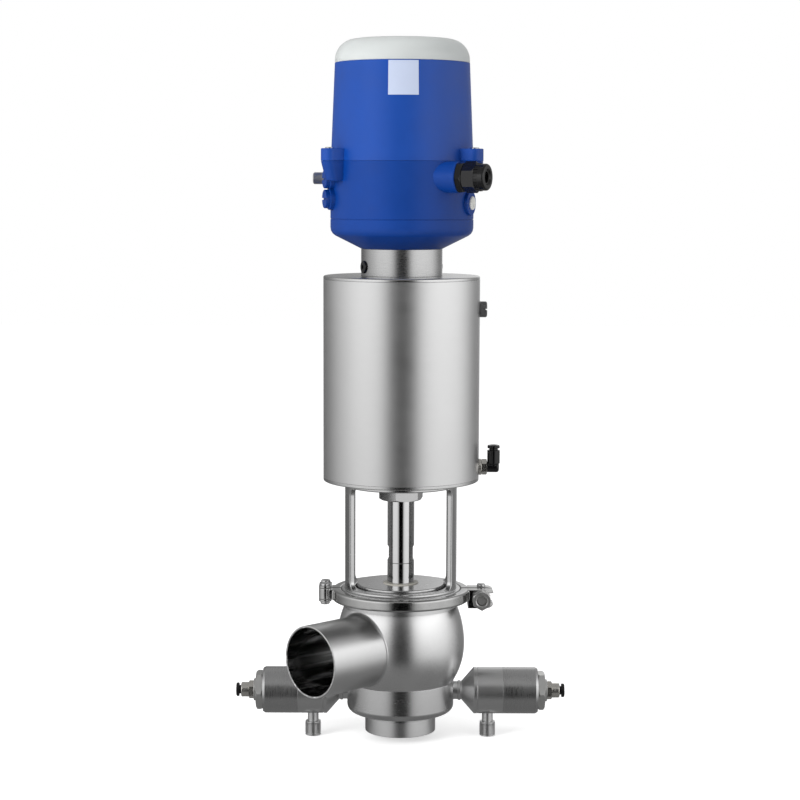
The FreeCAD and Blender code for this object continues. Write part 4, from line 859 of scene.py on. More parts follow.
threadTree, asked = startTree("thread on a rod", [
    ("Radius", "Float"), ("Ridge", "Float"), ("Turns", "Float"), ("Length", "Float"), ("Finish", "Material")])
spiral = node(threadTree, "GeometryNodeCurveSpiral", {
    "Resolution": 48, "Start Radius": asked["Radius"], "End Radius": asked["Radius"],
    "Rotations": asked["Turns"], "Height": asked["Length"]})
ridge = node(threadTree, "GeometryNodeCurvePrimitiveCircle", {"Resolution": 4, "Radius": asked["Ridge"]})
level = node(threadTree, "GeometryNodeSetCurveNormal", {"Curve": spiral.outputs["Curve"]}, mode="Z_UP")
wound = node(threadTree, "GeometryNodeCurveToMesh", {
    "Curve": level.outputs["Curve"], "Profile Curve": ridge.outputs["Curve"], "Fill Caps": True})
closeTree(threadTree, wound.outputs["Mesh"], asked["Finish"])


def grown(name, tree, values):
    piece = newPiece(name, bpy.data.meshes.new(name))
    step = piece.modifiers.new("grow", "NODES")
    step.node_group = tree
    for item in tree.interface.items_tree:
        if item.item_type == "SOCKET" and item.in_out == "INPUT":
            step[item.identifier] = values[item.name]
    return settle(piece)


# Copies of a source piece that points along +X, set round an upright circle
def roundCircle(name, source, count, radius, azimuth, height, material):
    piece = grown(name, circleTree, {
        "Source": source, "Count": count, "Radius": radius * mm, "Turn": (0, 0, math.radians(azimuth - 90)),
        "Place": (0, 0, height * mm), "Finish": material})
    bpy.data.objects.remove(source)
    return piece


# A helical ridge up the Z axis; radius is the thread's outer radius
def thread(name, radius, low, high, pitch, material):
    ridge = pitch * 0.5
    piece = grown(name, threadTree, {
        "Radius": (radius - ridge) * mm, "Ridge": ridge * mm, "Turns": (high - low - 2 * ridge) / pitch,
        "Length": (high - low - 2 * ridge) * mm, "Finish": material})
    return moved(piece, z=low + ridge)


print("node trees made")

# Plug and stem in one piece, with a seal groove in each rim
stem = {"radius": 13.3, "joint": lowOf("actuator_shaft")}
plug = {"base": 22.0, "lowR": 33.6, "lowRim": 8.0, "highR": 37.6, "highRim": 4.5, "waistR": 26.0,
        "waist": 2.0, "stop": 51.3, "flangeR": 41.0, "flange": 4.0, "sealDepth": 3.6, "sealWidth": 2.8,
        "coneHeight": 23.0, "coneRound": 14.0, "spigotR": 8.0, "spigot": 15.0}


def sealGroove(radius, low):
    inner = radius - plug["sealDepth"]
    high = low + plug["sealWidth"]
    return [(radius, low), (inner, low), (inner, high), (radius, high)]


lowRim = plug["base"] + plug["lowRim"]
highRim = plug["stop"] - plug["highRim"]
flangeTop = plug["stop"] + plug["flange"]
valvePlug = turned("valvePlug", [
    (0, plug["base"]), (plug["lowR"], plug["base"], 1.0)] +
    sealGroove(plug["lowR"], plug["base"] + (plug["lowRim"] - plug["sealWidth"]) / 2) + [
    (plug["lowR"], lowRim), (plug["waistR"], lowRim + plug["waist"], 2.0),
    (plug["waistR"], highRim - plug["waist"], 2.0), (plug["highR"], highRim)] +
    sealGroove(plug["highR"], plug["stop"] - (plug["highRim"] + plug["sealWidth"]) / 2) + [
    (plug["highR"], plug["stop"]), (plug["flangeR"], plug["stop"]), (plug["flangeR"], flangeTop, 1.5),
    (stem["radius"], flangeTop + plug["coneHeight"], plug["coneRound"]),
    (stem["radius"], stem["joint"], 0.25), (plug["spigotR"], stem["joint"]),
    (plug["spigotR"], stem["joint"] + plug["spigot"]),
    (0, stem["joint"] + plug["spigot"])], 160, 0.15)
finished(valvePlug, mirrorSteel, ["valve_plug"])

# Shaft with wrench flats at its foot and a thin rod to the head
shaft = {"socketR": 8.05, "socket": 16.0, "shoulder": 272.1, "seatR": 10.0, "seatTop": 298.1, "rodR": 8.0,
         "rodTop": highOf("actuator_shaft"), "flat": 11.95, "flatRise": 1.8, "flatLength": 14.2,
         "runout": 1.65}
actuatorShaft = turned("actuatorShaft", [
    (shaft["socketR"], stem["joint"]), (stem["radius"], stem["joint"], 0.7),
    (stem["radius"], shaft["shoulder"], 0.3), (shaft["seatR"], shaft["shoulder"]),
    (shaft["seatR"], shaft["seatTop"]), (shaft["rodR"], shaft["seatTop"]),
    (shaft["rodR"], shaft["rodTop"], 0.6), (0, shaft["rodTop"]), (0, stem["joint"] + shaft["socket"]),
    (shaft["socketR"], stem["joint"] + shaft["socket"])], 160, 0.2)
flatLow = stem["joint"] + shaft["flatRise"]
flatHigh = flatLow + shaft["flatLength"]
flatOut = shaft["flat"] + shaft["runout"]
for way in (-1, 1):
    cut(actuatorShaft, pushed("flat", [
        (way * shaft["flat"], flatLow + shaft["runout"]), (way * flatOut, flatLow),
        (way * flatOut, flatHigh + shaft["runout"]), (way * shaft["flat"], flatHigh)], -20, 20, 0.0, standUp))
finished(actuatorShaft, mirrorSteel, ["actuator_shaft"], 20.0)

gland = {"flats": 39.0, "turn": 17.0, "low": 232.0, "high": 244.0, "spigotR": 19.95, "spigotTop": 258.1}
shaftGland = join("shaftGland", [
    hexPiece("gland hexagon", gland["flats"], gland["low"], gland["high"], gland["turn"], bush["bore"], 0.6),
    turned("gland spigot", [
        (bush["bore"], gland["high"]), (gland["spigotR"], gland["high"]),
        (gland["spigotR"], gland["spigotTop"], 0.5), (bush["bore"], gland["spigotTop"])])])
finished(shaftGland, turnedSteel, ["shaft_gland"])
print("stem made")

# Actuator: two pressed covers and a brushed cylinder, with a fine seam between them
drum = {"radius": 76.5, "bore": 74.0, "play": 0.05, "base": lowOf("lantern") + 112.6, "seam": 3.3,
        "round": 2.6, "top": 452.7, "inner": 443.2, "seamRound": 0.28, "hubIn": 20.0, "hubR": 24.0,
        "fold": 2.0, "floor": 3.0, "tubeIn": 12.0, "tubeR": 22.0, "tubeLow": 328.4, "rodHole": 8.07,
        "inlet": 264.6, "vent": 420.0, "portR": 4.85}
lowSeam = drum["base"] + drum["seam"]
highSeam = drum["top"] - drum["seam"]
coverR = drum["bore"] - drum["play"]
finished(turned("bottomCover", [
    (drum["hubIn"], gland["high"]), (drum["hubR"], gland["high"], 1.0),
    (drum["hubR"], drum["base"] - 0.6, 0.5), (drum["radius"] - drum["fold"], drum["base"], 0.0),
    (drum["radius"], drum["base"], drum["round"]),
    (drum["radius"], lowSeam, drum["seamRound"]), (coverR, lowSeam), (coverR, lowSeam + drum["floor"]),
    (drum["hubIn"], lowSeam + drum["floor"])], 256), turnedSteel, ["actuator_bottom_cover"])
cylinder = turned("cylinder", [
    (drum["bore"], lowSeam, 0.1), (drum["radius"], lowSeam, drum["seamRound"]),
    (drum["radius"], highSeam, drum["seamRound"]), (drum["bore"], highSeam, 0.1)], 256)
for height in (drum["inlet"], drum["vent"]):
    cut(cylinder, rod("port", drum["portR"], 70.0, 80.0, 48, outward(90, height)))
finished(cylinder, brushedSteel, ["actuator_cylinder"])
finished(turned("topCover", [
    (drum["rodHole"], drum["top"], 0.3), (drum["radius"], drum["top"], drum["round"]),
    (drum["radius"], highSeam, drum["seamRound"]), (coverR, highSeam), (coverR, drum["inner"]),
    (drum["tubeR"], drum["inner"]), (drum["tubeR"], drum["tubeLow"], 0.4),
    (drum["tubeIn"], drum["tubeLow"], 0.4), (drum["tubeIn"], drum["inner"]),
    (drum["rodHole"], drum["inner"])], 256), turnedSteel, ["actuator_top_cover"])

# Air vent in the cylinder's wall; stud is the screwed end that it shares with the air fittings
stud = {"radius": 4.8, "low": 71.0}
vent = {"radius": 7.75, "end": drum["radius"] + 7.0, "slot": 0.9, "slotDepth": 1.6}
airVent = turned("airVent", [
    (0, stud["low"]), (stud["radius"], stud["low"]), (stud["radius"], drum["radius"]),
    (vent["radius"], drum["radius"], 0.2), (vent["radius"], vent["end"], 1.6), (0, vent["end"])], 96)
cut(airVent, slab("slot", (-vent["slot"], -9.0, vent["end"] - vent["slotDepth"]),
                  (vent["slot"], 9.0, vent["end"] + 2)))
finished(placed(airVent, outward(90, drum["vent"])), greyPlastic, ["air_vent"], 45.0)
print("actuator made")

# Push-in fittings for 6 mm air tube: the socket and the release collet, below the fitting's end
pushIn = {"bore": 2.0, "radius": 4.32, "depth": 11.2, "colletIn": 3.05, "colletR": 4.25, "colletDepth": 9.95,
          "gap": 1.9, "rim": 3.0}


def airSocket(low, end):
    return turned("socket", [
        (0, low), (pushIn["bore"], low), (pushIn["bore"], end - pushIn["depth"]),
        (pushIn["radius"], end - pushIn["depth"]), (pushIn["radius"], end + 1), (0, end + 1)], 64, 0.0)


def colletPiece(name, end, rimR):
    low = end - pushIn["colletDepth"]
    rim = end + pushIn["gap"]
    return turned(name, [
        (pushIn["colletIn"], low, 0.1), (pushIn["colletR"], low, 0.3), (pushIn["colletR"], rim),
        (rimR, rim, 0.5), (rimR, rim + pushIn["rim"], 1.1),
        (pushIn["colletIn"], rim + pushIn["rim"], 0.5)], 96)


# Elbow on its hexagon adapter
elbow = {"z": drum["inlet"], "x": 91.05, "collarR": 8.0, "collar": 79.0, "neckR": 3.5, "flats": 13.5,
         "face": 84.5, "radius": 5.35, "bodyR": 6.2, "start": 267.5, "end": 281.4, "play": 0.05, "bend": 3.2}
elbowLine = outward(90, elbow["z"])
adapter = join("adapter", [
    turned("adapter stem", [
        (pushIn["bore"], stud["low"]), (stud["radius"], stud["low"]), (stud["radius"], drum["radius"]),
        (elbow["collarR"], drum["radius"], 0.4), (elbow["collarR"], elbow["collar"], 0.5),
        (elbow["neckR"], elbow["collar"]), (elbow["neckR"], elbow["x"]), (pushIn["bore"], elbow["x"])], 96),
    hexPiece("adapter hexagon", elbow["flats"], elbow["collar"], elbow["face"], 0.0, 3.45)])
finished(placed(adapter, elbowLine), nickelBrass, ["elbow_adapter"])
elbowBody = moved(turned("elbowBody", [
    (0, elbow["z"]), (elbow["radius"], elbow["z"], 0.5), (elbow["radius"], elbow["start"], 0.6),
    (elbow["bodyR"], elbow["start"] + 0.8, 0.6), (elbow["bodyR"], elbow["end"], 0.8), (0, elbow["end"])], 96),
    x=elbow["x"])
add(elbowBody, turned("barrel", [
    (0, elbow["face"] + elbow["play"]), (elbow["radius"], elbow["face"] + elbow["play"], 0.4),
    (elbow["radius"], elbow["x"] + elbow["radius"], elbow["bend"]), (0, elbow["x"] + elbow["radius"])],
    96, 0.3, elbowLine))
cut(elbowBody, rod("neck bore", 3.57, elbow["face"] - 1, elbow["x"] + 0.02, 48, elbowLine))
cut(elbowBody, moved(airSocket(elbow["z"], elbow["end"]), x=elbow["x"]))
finished(elbowBody, blackPlastic, ["elbow_body"], 32.0)
finished(moved(colletPiece("elbowCollet", elbow["end"], 6.0), x=elbow["x"]), blackPlastic, ["elbow_collet"])
print("elbow made")

# Neck between the actuator and the head, with two low screws
neck = {"radius": 39.65, "wall": 3.0, "lipR": 30.0, "lip": 3.0, "top": 479.0, "screwZ": 461.5,
        "azimuth": -67.0, "screwR": 3.0, "screw": 5.0, "headR": 6.2, "headHeight": 1.6, "socket": 4.0}
neckIn = neck["radius"] - neck["wall"]
lipLow = drum["top"] + neck["lip"]
lipHigh = neck["top"] - neck["lip"]
neckPiece = turned("neck", [
    (neck["lipR"], drum["top"]), (neck["radius"], drum["top"], 0.4), (neck["radius"], neck["top"], 0.4),
    (neck["lipR"], neck["top"]), (neck["lipR"], lipHigh), (neckIn, lipHigh), (neckIn, lipLow),
    (neck["lipR"], lipLow)], 192)
screwLines = [outward(neck["azimuth"] + turn, neck["screwZ"]) for turn in (0, 180)]
for line in screwLines:
    cut(neckPiece, rod("screw hole", neck["screwR"] + 0.05, 30, 45, 48, line))
finished(neckPiece, neckSteelPaintedShade, ["neck_adapter"])
neckScrews = []
for line in screwLines:
    low = neck["radius"] - neck["screw"]
    high = neck["radius"] + neck["headHeight"]
    screw = turned("neckScrew", [
        (0, low), (neck["screwR"], low), (neck["screwR"], neck["radius"]),
        (neck["headR"], neck["radius"], 0.2), (neck["headR"], high, 0.8), (0, high)], 64, 0.2)
    cut(screw, pushed("socket", sixPoints(neck["socket"]), neck["radius"], neck["radius"] + 3))
    neckScrews.append(placed(screw, line))
finished(join("neckScrews", neckScrews), blackPlastic, ["neck_screws"])
print("neck made")

# Control head: a bowl with three ears, its port bosses and the fine line of a band
head = {"radius": 69.6, "low": 479.0, "bowl": 494.0, "bowlRound": 9.0, "top": 563.2, "wall": 3.0,
        "floorHole": 16.0, "band": 0.5, "bandLow": 507.4, "bandHigh": 508.2, "inner": 35.0, "studR": 4.95}
ears = {"azimuths": (-60.0, 60.0, 180.0), "from": 35.0, "reach": 79.5, "radius": 8.5, "rootReach": 75.0,
        "rootR": 7.6, "drop": 19.2, "hole": 2.55}
ports = {"vent": (68.0, 523.5), "plugs": ((-75.0, 546.0), (-75.0, 527.0)), "connector": (-100.0, 547.0)}
cableLine = aim(polar(30.0, -25.0, 548.0), polar(1, 65.0))


def earRing(azimuth, reach, radius, z):  # a bar with a round end, seen from above
    out = polar(1, azimuth)
    aside = out.cross(upright)
    outline = [(ears["from"], radius)] + arc((reach, 0), radius, 90, -90, 24) + [(ears["from"], -radius)]
    return [out * point[0] + aside * point[1] + upright * z for point in outline]


def drillEars(piece, *holes):  # each hole is a radius, its ends and its sides
    for azimuth in ears["azimuths"]:
        spot = polar(ears["reach"], azimuth)
        for hole in holes:
            cut(piece, moved(rod("ear hole", *hole), spot.x, spot.y))


bandR = head["radius"] - head["band"]
headBase = turned("headBase", [
    (0, head["low"]), (neck["radius"], head["low"], 0.4), (head["radius"], head["bowl"], head["bowlRound"]),
    (head["radius"], head["bandLow"], 0.15), (bandR, head["bandLow"], 0.1), (bandR, head["bandHigh"], 0.1),
    (head["radius"], head["bandHigh"], 0.15), (head["radius"], head["top"], 0.2), (0, head["top"])], 256)
earFoot = head["top"] - ears["drop"]
for azimuth in ears["azimuths"]:
    earRings = [earRing(azimuth, ears["rootReach"] - 1.2, ears["rootR"] - 1.2, earFoot),
                earRing(azimuth, ears["rootReach"] - 0.3, ears["rootR"] - 0.3, earFoot + 0.4)]
    for share in (0.06, 0.5, 0.965):
        earRings.append(earRing(azimuth, ears["rootReach"] + (ears["reach"] - ears["rootReach"]) * share,
                                ears["rootR"] + (ears["radius"] - ears["rootR"]) * share,
                                head["top"] - ears["drop"] * (1 - share)))
    earRings.append(earRing(azimuth, ears["reach"] - 0.05, ears["radius"] - 0.12, head["top"] - 0.2))
    earRings.append(earRing(azimuth, ears["reach"] - 0.1, ears["radius"] - 0.4, head["top"]))
    add(headBase, swept("ear", earRings))
bosses = [(15.0, 74.0, 1.0, cableLine), (12.0, 72.2, 0.8, outward(*ports["vent"])),
          (9.5, 72.2, 0.8, outward(*ports["connector"]))]
bosses += [(10.5, 73.6, 0.8, outward(*place)) for place in ports["plugs"]]
for radius, reach, soft, line in bosses:
    add(headBase, turned("boss", [
        (0, head["inner"]), (radius, head["inner"]), (radius, reach, soft), (0, reach)], 96, 0.0, line))
roomR = head["radius"] - head["wall"]
cut(headBase, turned("cavity", [
    (0, head["low"] + head["wall"]), (neck["radius"], head["low"] + head["wall"]),
    (roomR, head["bowl"] + head["wall"], 6.0), (roomR, 570), (0, 570)], 192, 0.0))
cut(headBase, rod("floor hole", head["floorHole"], head["low"] - 1, 490))
cut(headBase, rod("gland hole", 9.96, 36, 80, 64, cableLine))
for place in (ports["vent"], ports["connector"]) + ports["plugs"]:
    cut(headBase, rod("stud hole", head["studR"], 36, 80, 48, outward(*place)))
drillEars(headBase, (ears["hole"], 555.0, 570.0, 32))
# The head base takes the darker copy of the blue, which is painted shade
finished(headBase, bluePlasticPaintedShade, ["head_base"], 34.0)
print("head base made")

# Conical cover with ears over those of the base; lap is the step over the seam
cover = {"low": 563.8, "high": 657.5, "footR": 69.2, "topR": 65.3, "wall": 2.5, "lap": 0.45, "earTop": 575.1,
         "seatR": 4.6, "sunk": 1.7}
coverFoot = cover["low"] - cover["lap"]
screwSeat = cover["earTop"] - cover["sunk"]
headCover = turned("headCover", [
    (0, cover["low"]), (cover["footR"] - cover["lap"], cover["low"], 0.0),
    (cover["footR"] - cover["lap"], coverFoot, 0.0), (cover["footR"], coverFoot, 0.15),
    (cover["topR"], cover["high"], 0.4), (0, cover["high"])], 256)
for azimuth in ears["azimuths"]:
    earRings = []
    for z, less in ((coverFoot, 0.3), (cover["low"] - 0.25, 0.1), (cover["low"] + 0.1, 0.0),
                    (cover["earTop"] - 0.9, 0.0), (cover["earTop"] - 0.4, 0.15),
                    (cover["earTop"] - 0.12, 0.5), (cover["earTop"], 1.0)):
        earRings.append(earRing(azimuth, ears["reach"], ears["radius"] - less, z))
    add(headCover, swept("ear", earRings))
footIn = cover["footR"] - cover["wall"]
topIn = cover["topR"] - cover["wall"]
cut(headCover, turned("cavity", [
    (0, cover["low"] - 1), (footIn, cover["low"] - 1), (footIn, cover["low"]), (topIn, cover["high"]),
    (topIn, cover["high"] + 1), (0, cover["high"] + 1)], 192, 0.0))
drillEars(headCover, (ears["hole"], 560.0, 580.0, 32), (cover["seatR"], screwSeat, 580.0, 48))
finished(headCover, bluePlastic, ["head_cover"], 34.0)

screwSize = {"radius": 2.5, "length": 19.0, "headR": 4.4, "head": 2.8, "socket": 4.0, "socketLow": 1.0}
headScrew = turned("headScrew", [
    (0, -screwSize["length"]), (screwSize["radius"], -screwSize["length"]), (screwSize["radius"], 0),
    (screwSize["headR"], 0, 0.15), (screwSize["headR"], screwSize["head"], 0.6),
    (0, screwSize["head"])], 48, 0.1)
cut(headScrew, pushed("socket", sixPoints(screwSize["socket"]), screwSize["socketLow"], 4.0))
finished(roundCircle("headScrews", headScrew, len(ears["azimuths"]), ears["reach"], ears["azimuths"][0],
                     screwSeat, turnedSteel), turnedSteel, ["head_screws"])

# Translucent dome with its lip inside the cover; its edge is an arc, outside and inside
dome = {"low": 657.5, "top": 681.7, "wall": 2.5, "lip": 651.5, "lipR": 62.75, "outMiddle": (45.67, 660.63),
        "outRound": 19.5, "inMiddle": (45.59, 660.55), "inRound": 17.0}
lipIn = dome["lipR"] - dome["wall"]
outArc = arc(dome["outMiddle"], dome["outRound"], 2.1, 88.05)
inArc = arc(dome["inMiddle"], dome["inRound"], 88.05, 3.0)
finished(turned("headDome", [
    (lipIn, dome["lip"], 0.4), (dome["lipR"], dome["lip"], 0.4), (dome["lipR"], dome["low"], 0.0),
    (cover["topR"], dome["low"], 0.5)] + outArc + [(0, dome["top"]), (0, dome["top"] - dome["wall"])] +
    inArc + [(lipIn, dome["low"] + 3, 0.3)], 192), domePlastic, ["head_dome"])

# Plain label film on the front of the cover
label = {"low": 624.5, "high": 656.6, "from": -11.6, "to": 13.3, "thick": 0.12, "sunk": 0.05, "steps": 28}
coneSlope = (cover["footR"] - cover["topR"]) / (cover["high"] - cover["low"])
labelRings = []
for step in range(label["steps"] + 1):
    azimuth = label["from"] + (label["to"] - label["from"]) * step / label["steps"]
    column = []
    for z, lift in ((label["low"], -label["sunk"]), (label["low"], label["thick"]),
                    (label["high"], label["thick"]), (label["high"], -label["sunk"])):
        column.append(polar(cover["footR"] - coneSlope * (z - cover["low"]) + lift, azimuth, z))
    labelRings.append(column)
finished(swept("label", labelRings), labelFilm, [])
print("head cover made")


def squareTo(azimuth, z):  # local X runs round the wall, local Y up and local Z outwards
    out = polar(1, azimuth)
    turn = Matrix((upright.cross(out), upright, out)).transposed().to_4x4()
    return Matrix.Translation(upright * z * mm) @ turn


# Blank plugs with a coin slot
blank = {"face": 73.6, "end": 77.8, "radius": 9.0, "studR": 4.9, "stud": 6.0, "slot": 0.9, "slotDepth": 1.6}
plugPair = []
for azimuth, z in ports["plugs"]:
    piece = turned("blankPlug", [
        (0, blank["face"] - blank["stud"]), (blank["studR"], blank["face"] - blank["stud"]),
        (blank["studR"], blank["face"]), (blank["radius"], blank["face"], 0.2),
        (blank["radius"], blank["end"], 0.8), (0, blank["end"])], 96)
    cut(piece, slab("slot", (-blank["radius"] - 1, -blank["slot"], blank["end"] - blank["slotDepth"]),
                    (blank["radius"] + 1, blank["slot"], blank["end"] + 1)))
    plugPair.append(placed(piece, squareTo(azimuth, z)))
finished(join("blankPlugs", plugPair), bluePlasticPaintedShade, ["blank_plugs"])

# Round connector with its thread and pins
connector = {"face": 72.2, "ring": 75.2, "end": 87.7, "ringR": 8.0, "radius": 6.0, "rootR": 5.45,
             "collarR": 5.9, "boreR": 4.6, "well": 8.0, "pinR": 0.5, "pin": 6.6, "pinReach": 2.5}
wellFloor = connector["end"] - connector["well"]
connectorParts = [turned("connector", [
    (0, connector["face"] - blank["stud"]), (blank["studR"], connector["face"] - blank["stud"]),
    (blank["studR"], connector["face"]), (connector["ringR"], connector["face"], 0.2),
    (connector["ringR"], connector["ring"], 0.5), (connector["collarR"], connector["ring"]),
    (connector["collarR"], connector["ring"] + 1.6, 0.2), (connector["rootR"], connector["ring"] + 1.9),
    (connector["rootR"], connector["end"], 0.3), (connector["boreR"], connector["end"], 0.2),
    (connector["boreR"], wellFloor), (0, wellFloor)], 96, 0.1),
    thread("connectorThread", connector["radius"], connector["ring"] + 1.7, connector["end"] - 0.3, 1.0,
           nickelBrass)]
for turn in (45, 135, 225, 315):
    pin = turned("pin", [(0, 0), (connector["pinR"], 0), (connector["pinR"], connector["pin"], 0.3),
                         (0, connector["pin"])], 16, 0.0)
    spot = polar(connector["pinReach"], turn)
    connectorParts.append(moved(pin, spot.x, spot.y, wellFloor - 0.2))
finished(placed(join("connector", connectorParts), outward(*ports["connector"])), fastenerSteel,
         ["m12_connector"])

# Cable gland: hexagon body, and a dome nut with grip ribs
cable = {"tubeR": 9.9, "boreR": 5.5, "start": 62.0, "taper": 85.0, "tip": 90.0, "tipR": 8.9, "flats": 27.0,
         "collar": (74.0, 80.0)}
glandBody = join("glandBody", [
    turned("gland tube", [
        (cable["boreR"], cable["start"]), (cable["tubeR"], cable["start"]), (cable["tubeR"], cable["taper"]),
        (cable["tipR"], cable["tip"]), (cable["boreR"], cable["tip"])], 96, 0.2),
    hexPiece("gland collar", cable["flats"], *cable["collar"], 12.0, 9.8, 0.5)])
finished(placed(glandBody, cableLine), blackPlastic, ["cable_gland_body"])
nut = {"low": 80.3, "hexTop": 92.7, "end": 102.9, "flats": 26.0, "domeR": 12.7, "mouthR": 8.0, "mouth": 2.0,
       "boreR": 9.95, "ribs": 24, "rib": 0.75, "ribEnd": 97.2}
glandNut = hexPiece("glandNut", nut["flats"], nut["low"], nut["hexTop"], 42.0, 0.0, 0.6)
add(glandNut, turned("nut dome", [
    (0, nut["hexTop"] - 3), (nut["domeR"], nut["hexTop"] - 3), (nut["domeR"], nut["end"], 4.2),
    (nut["mouthR"], nut["end"], 0.4), (nut["mouthR"] - 1.5, nut["end"] - nut["mouth"], 0.2),
    (0, nut["end"] - nut["mouth"])], 96, 0.0))
cut(glandNut, turned("nut bore", [
    (0, nut["low"] - 1), (nut["boreR"], nut["low"] - 1), (nut["boreR"], cable["tip"]),
    (cable["boreR"], cable["tip"]), (cable["boreR"], nut["end"] + 1), (0, nut["end"] + 1)], 64, 0.0))
ribRings = []
for foot, crest in ((nut["hexTop"] - 0.4, nut["hexTop"] - 0.4), (nut["ribEnd"], nut["ribEnd"] - 0.8)):
    ribRings.append([(0, -0.55, foot), (nut["rib"], -0.25, crest), (nut["rib"], 0.25, crest),
                     (0, 0.55, foot)])
gripRibs = roundCircle("gripRibs", swept("gripRib", ribRings), nut["ribs"], nut["domeR"] - 0.15, 0.0, 0.0,
                       blackPlastic)
finished(placed(join("glandNut", [glandNut, gripRibs]), cableLine), blackPlastic, ["cable_gland_nut"])

ventPlug = {"start": 66.2, "face": 72.2, "end": 74.0, "radius": 6.5, "dishR": 3.4, "dish": 73.6}
finished(turned("ventPlug", [
    (0, ventPlug["start"]), (blank["studR"], ventPlug["start"]), (blank["studR"], ventPlug["face"]),
    (ventPlug["radius"], ventPlug["face"], 0.15), (ventPlug["radius"], ventPlug["end"], 0.9),
    (ventPlug["dishR"], ventPlug["end"], 0.2), (ventPlug["dishR"] - 0.4, ventPlug["dish"], 0.2),
    (0, ventPlug["dish"])], 96, 0.2, outward(*ports["vent"])), whitePlastic, ["vent_plug"])
print("head ports made")

# Purge valves: each is built along +X, and the left one is turned half round
purge = {"z": seat["holeZ"], "radius": 23.0, "boreR": 5.0, "neckR": 9.0, "bulge": (57.0, 57.4, 59.6, 60.2),
         "bulgeR": 9.9, "cone": 61.0, "coneR": 9.4, "coneEnd": 72.6, "coneEndR": 22.4, "roomR": 18.0,
         "room": 74.0, "groove": (76.0, 76.15, 76.65, 76.8), "grooveR": 22.45, "joint": 101.6, "end": 136.6,
         "bevel": 2.4, "bevelR": 21.56, "capR": 20.0, "start": 96.0, "floor": 104.6, "rodHole": 4.07,
         "capPortR": 4.85}
nozzle = {"x": 87.0, "start": purge["z"] - 18.0, "neckR": 5.4, "radius": 7.9, "boreR": 4.0, "top": 8.45,
          "end": lowOf("right_purge_body"), "pitch": 1.25}
cap = {"flats": 35.0, "hexEnd": 143.6, "end": 146.0, "collarR": 11.0, "spigotR": 19.95, "spigot": 131.0,
       "portEnd": 140.0}
inlet = {"low": 142.0, "hexEnd": 151.0, "flats": 16.0, "sleeve": 150.0, "sleeveR": 7.25, "end": 158.6}
purgeLine = outward(90, purge["z"])
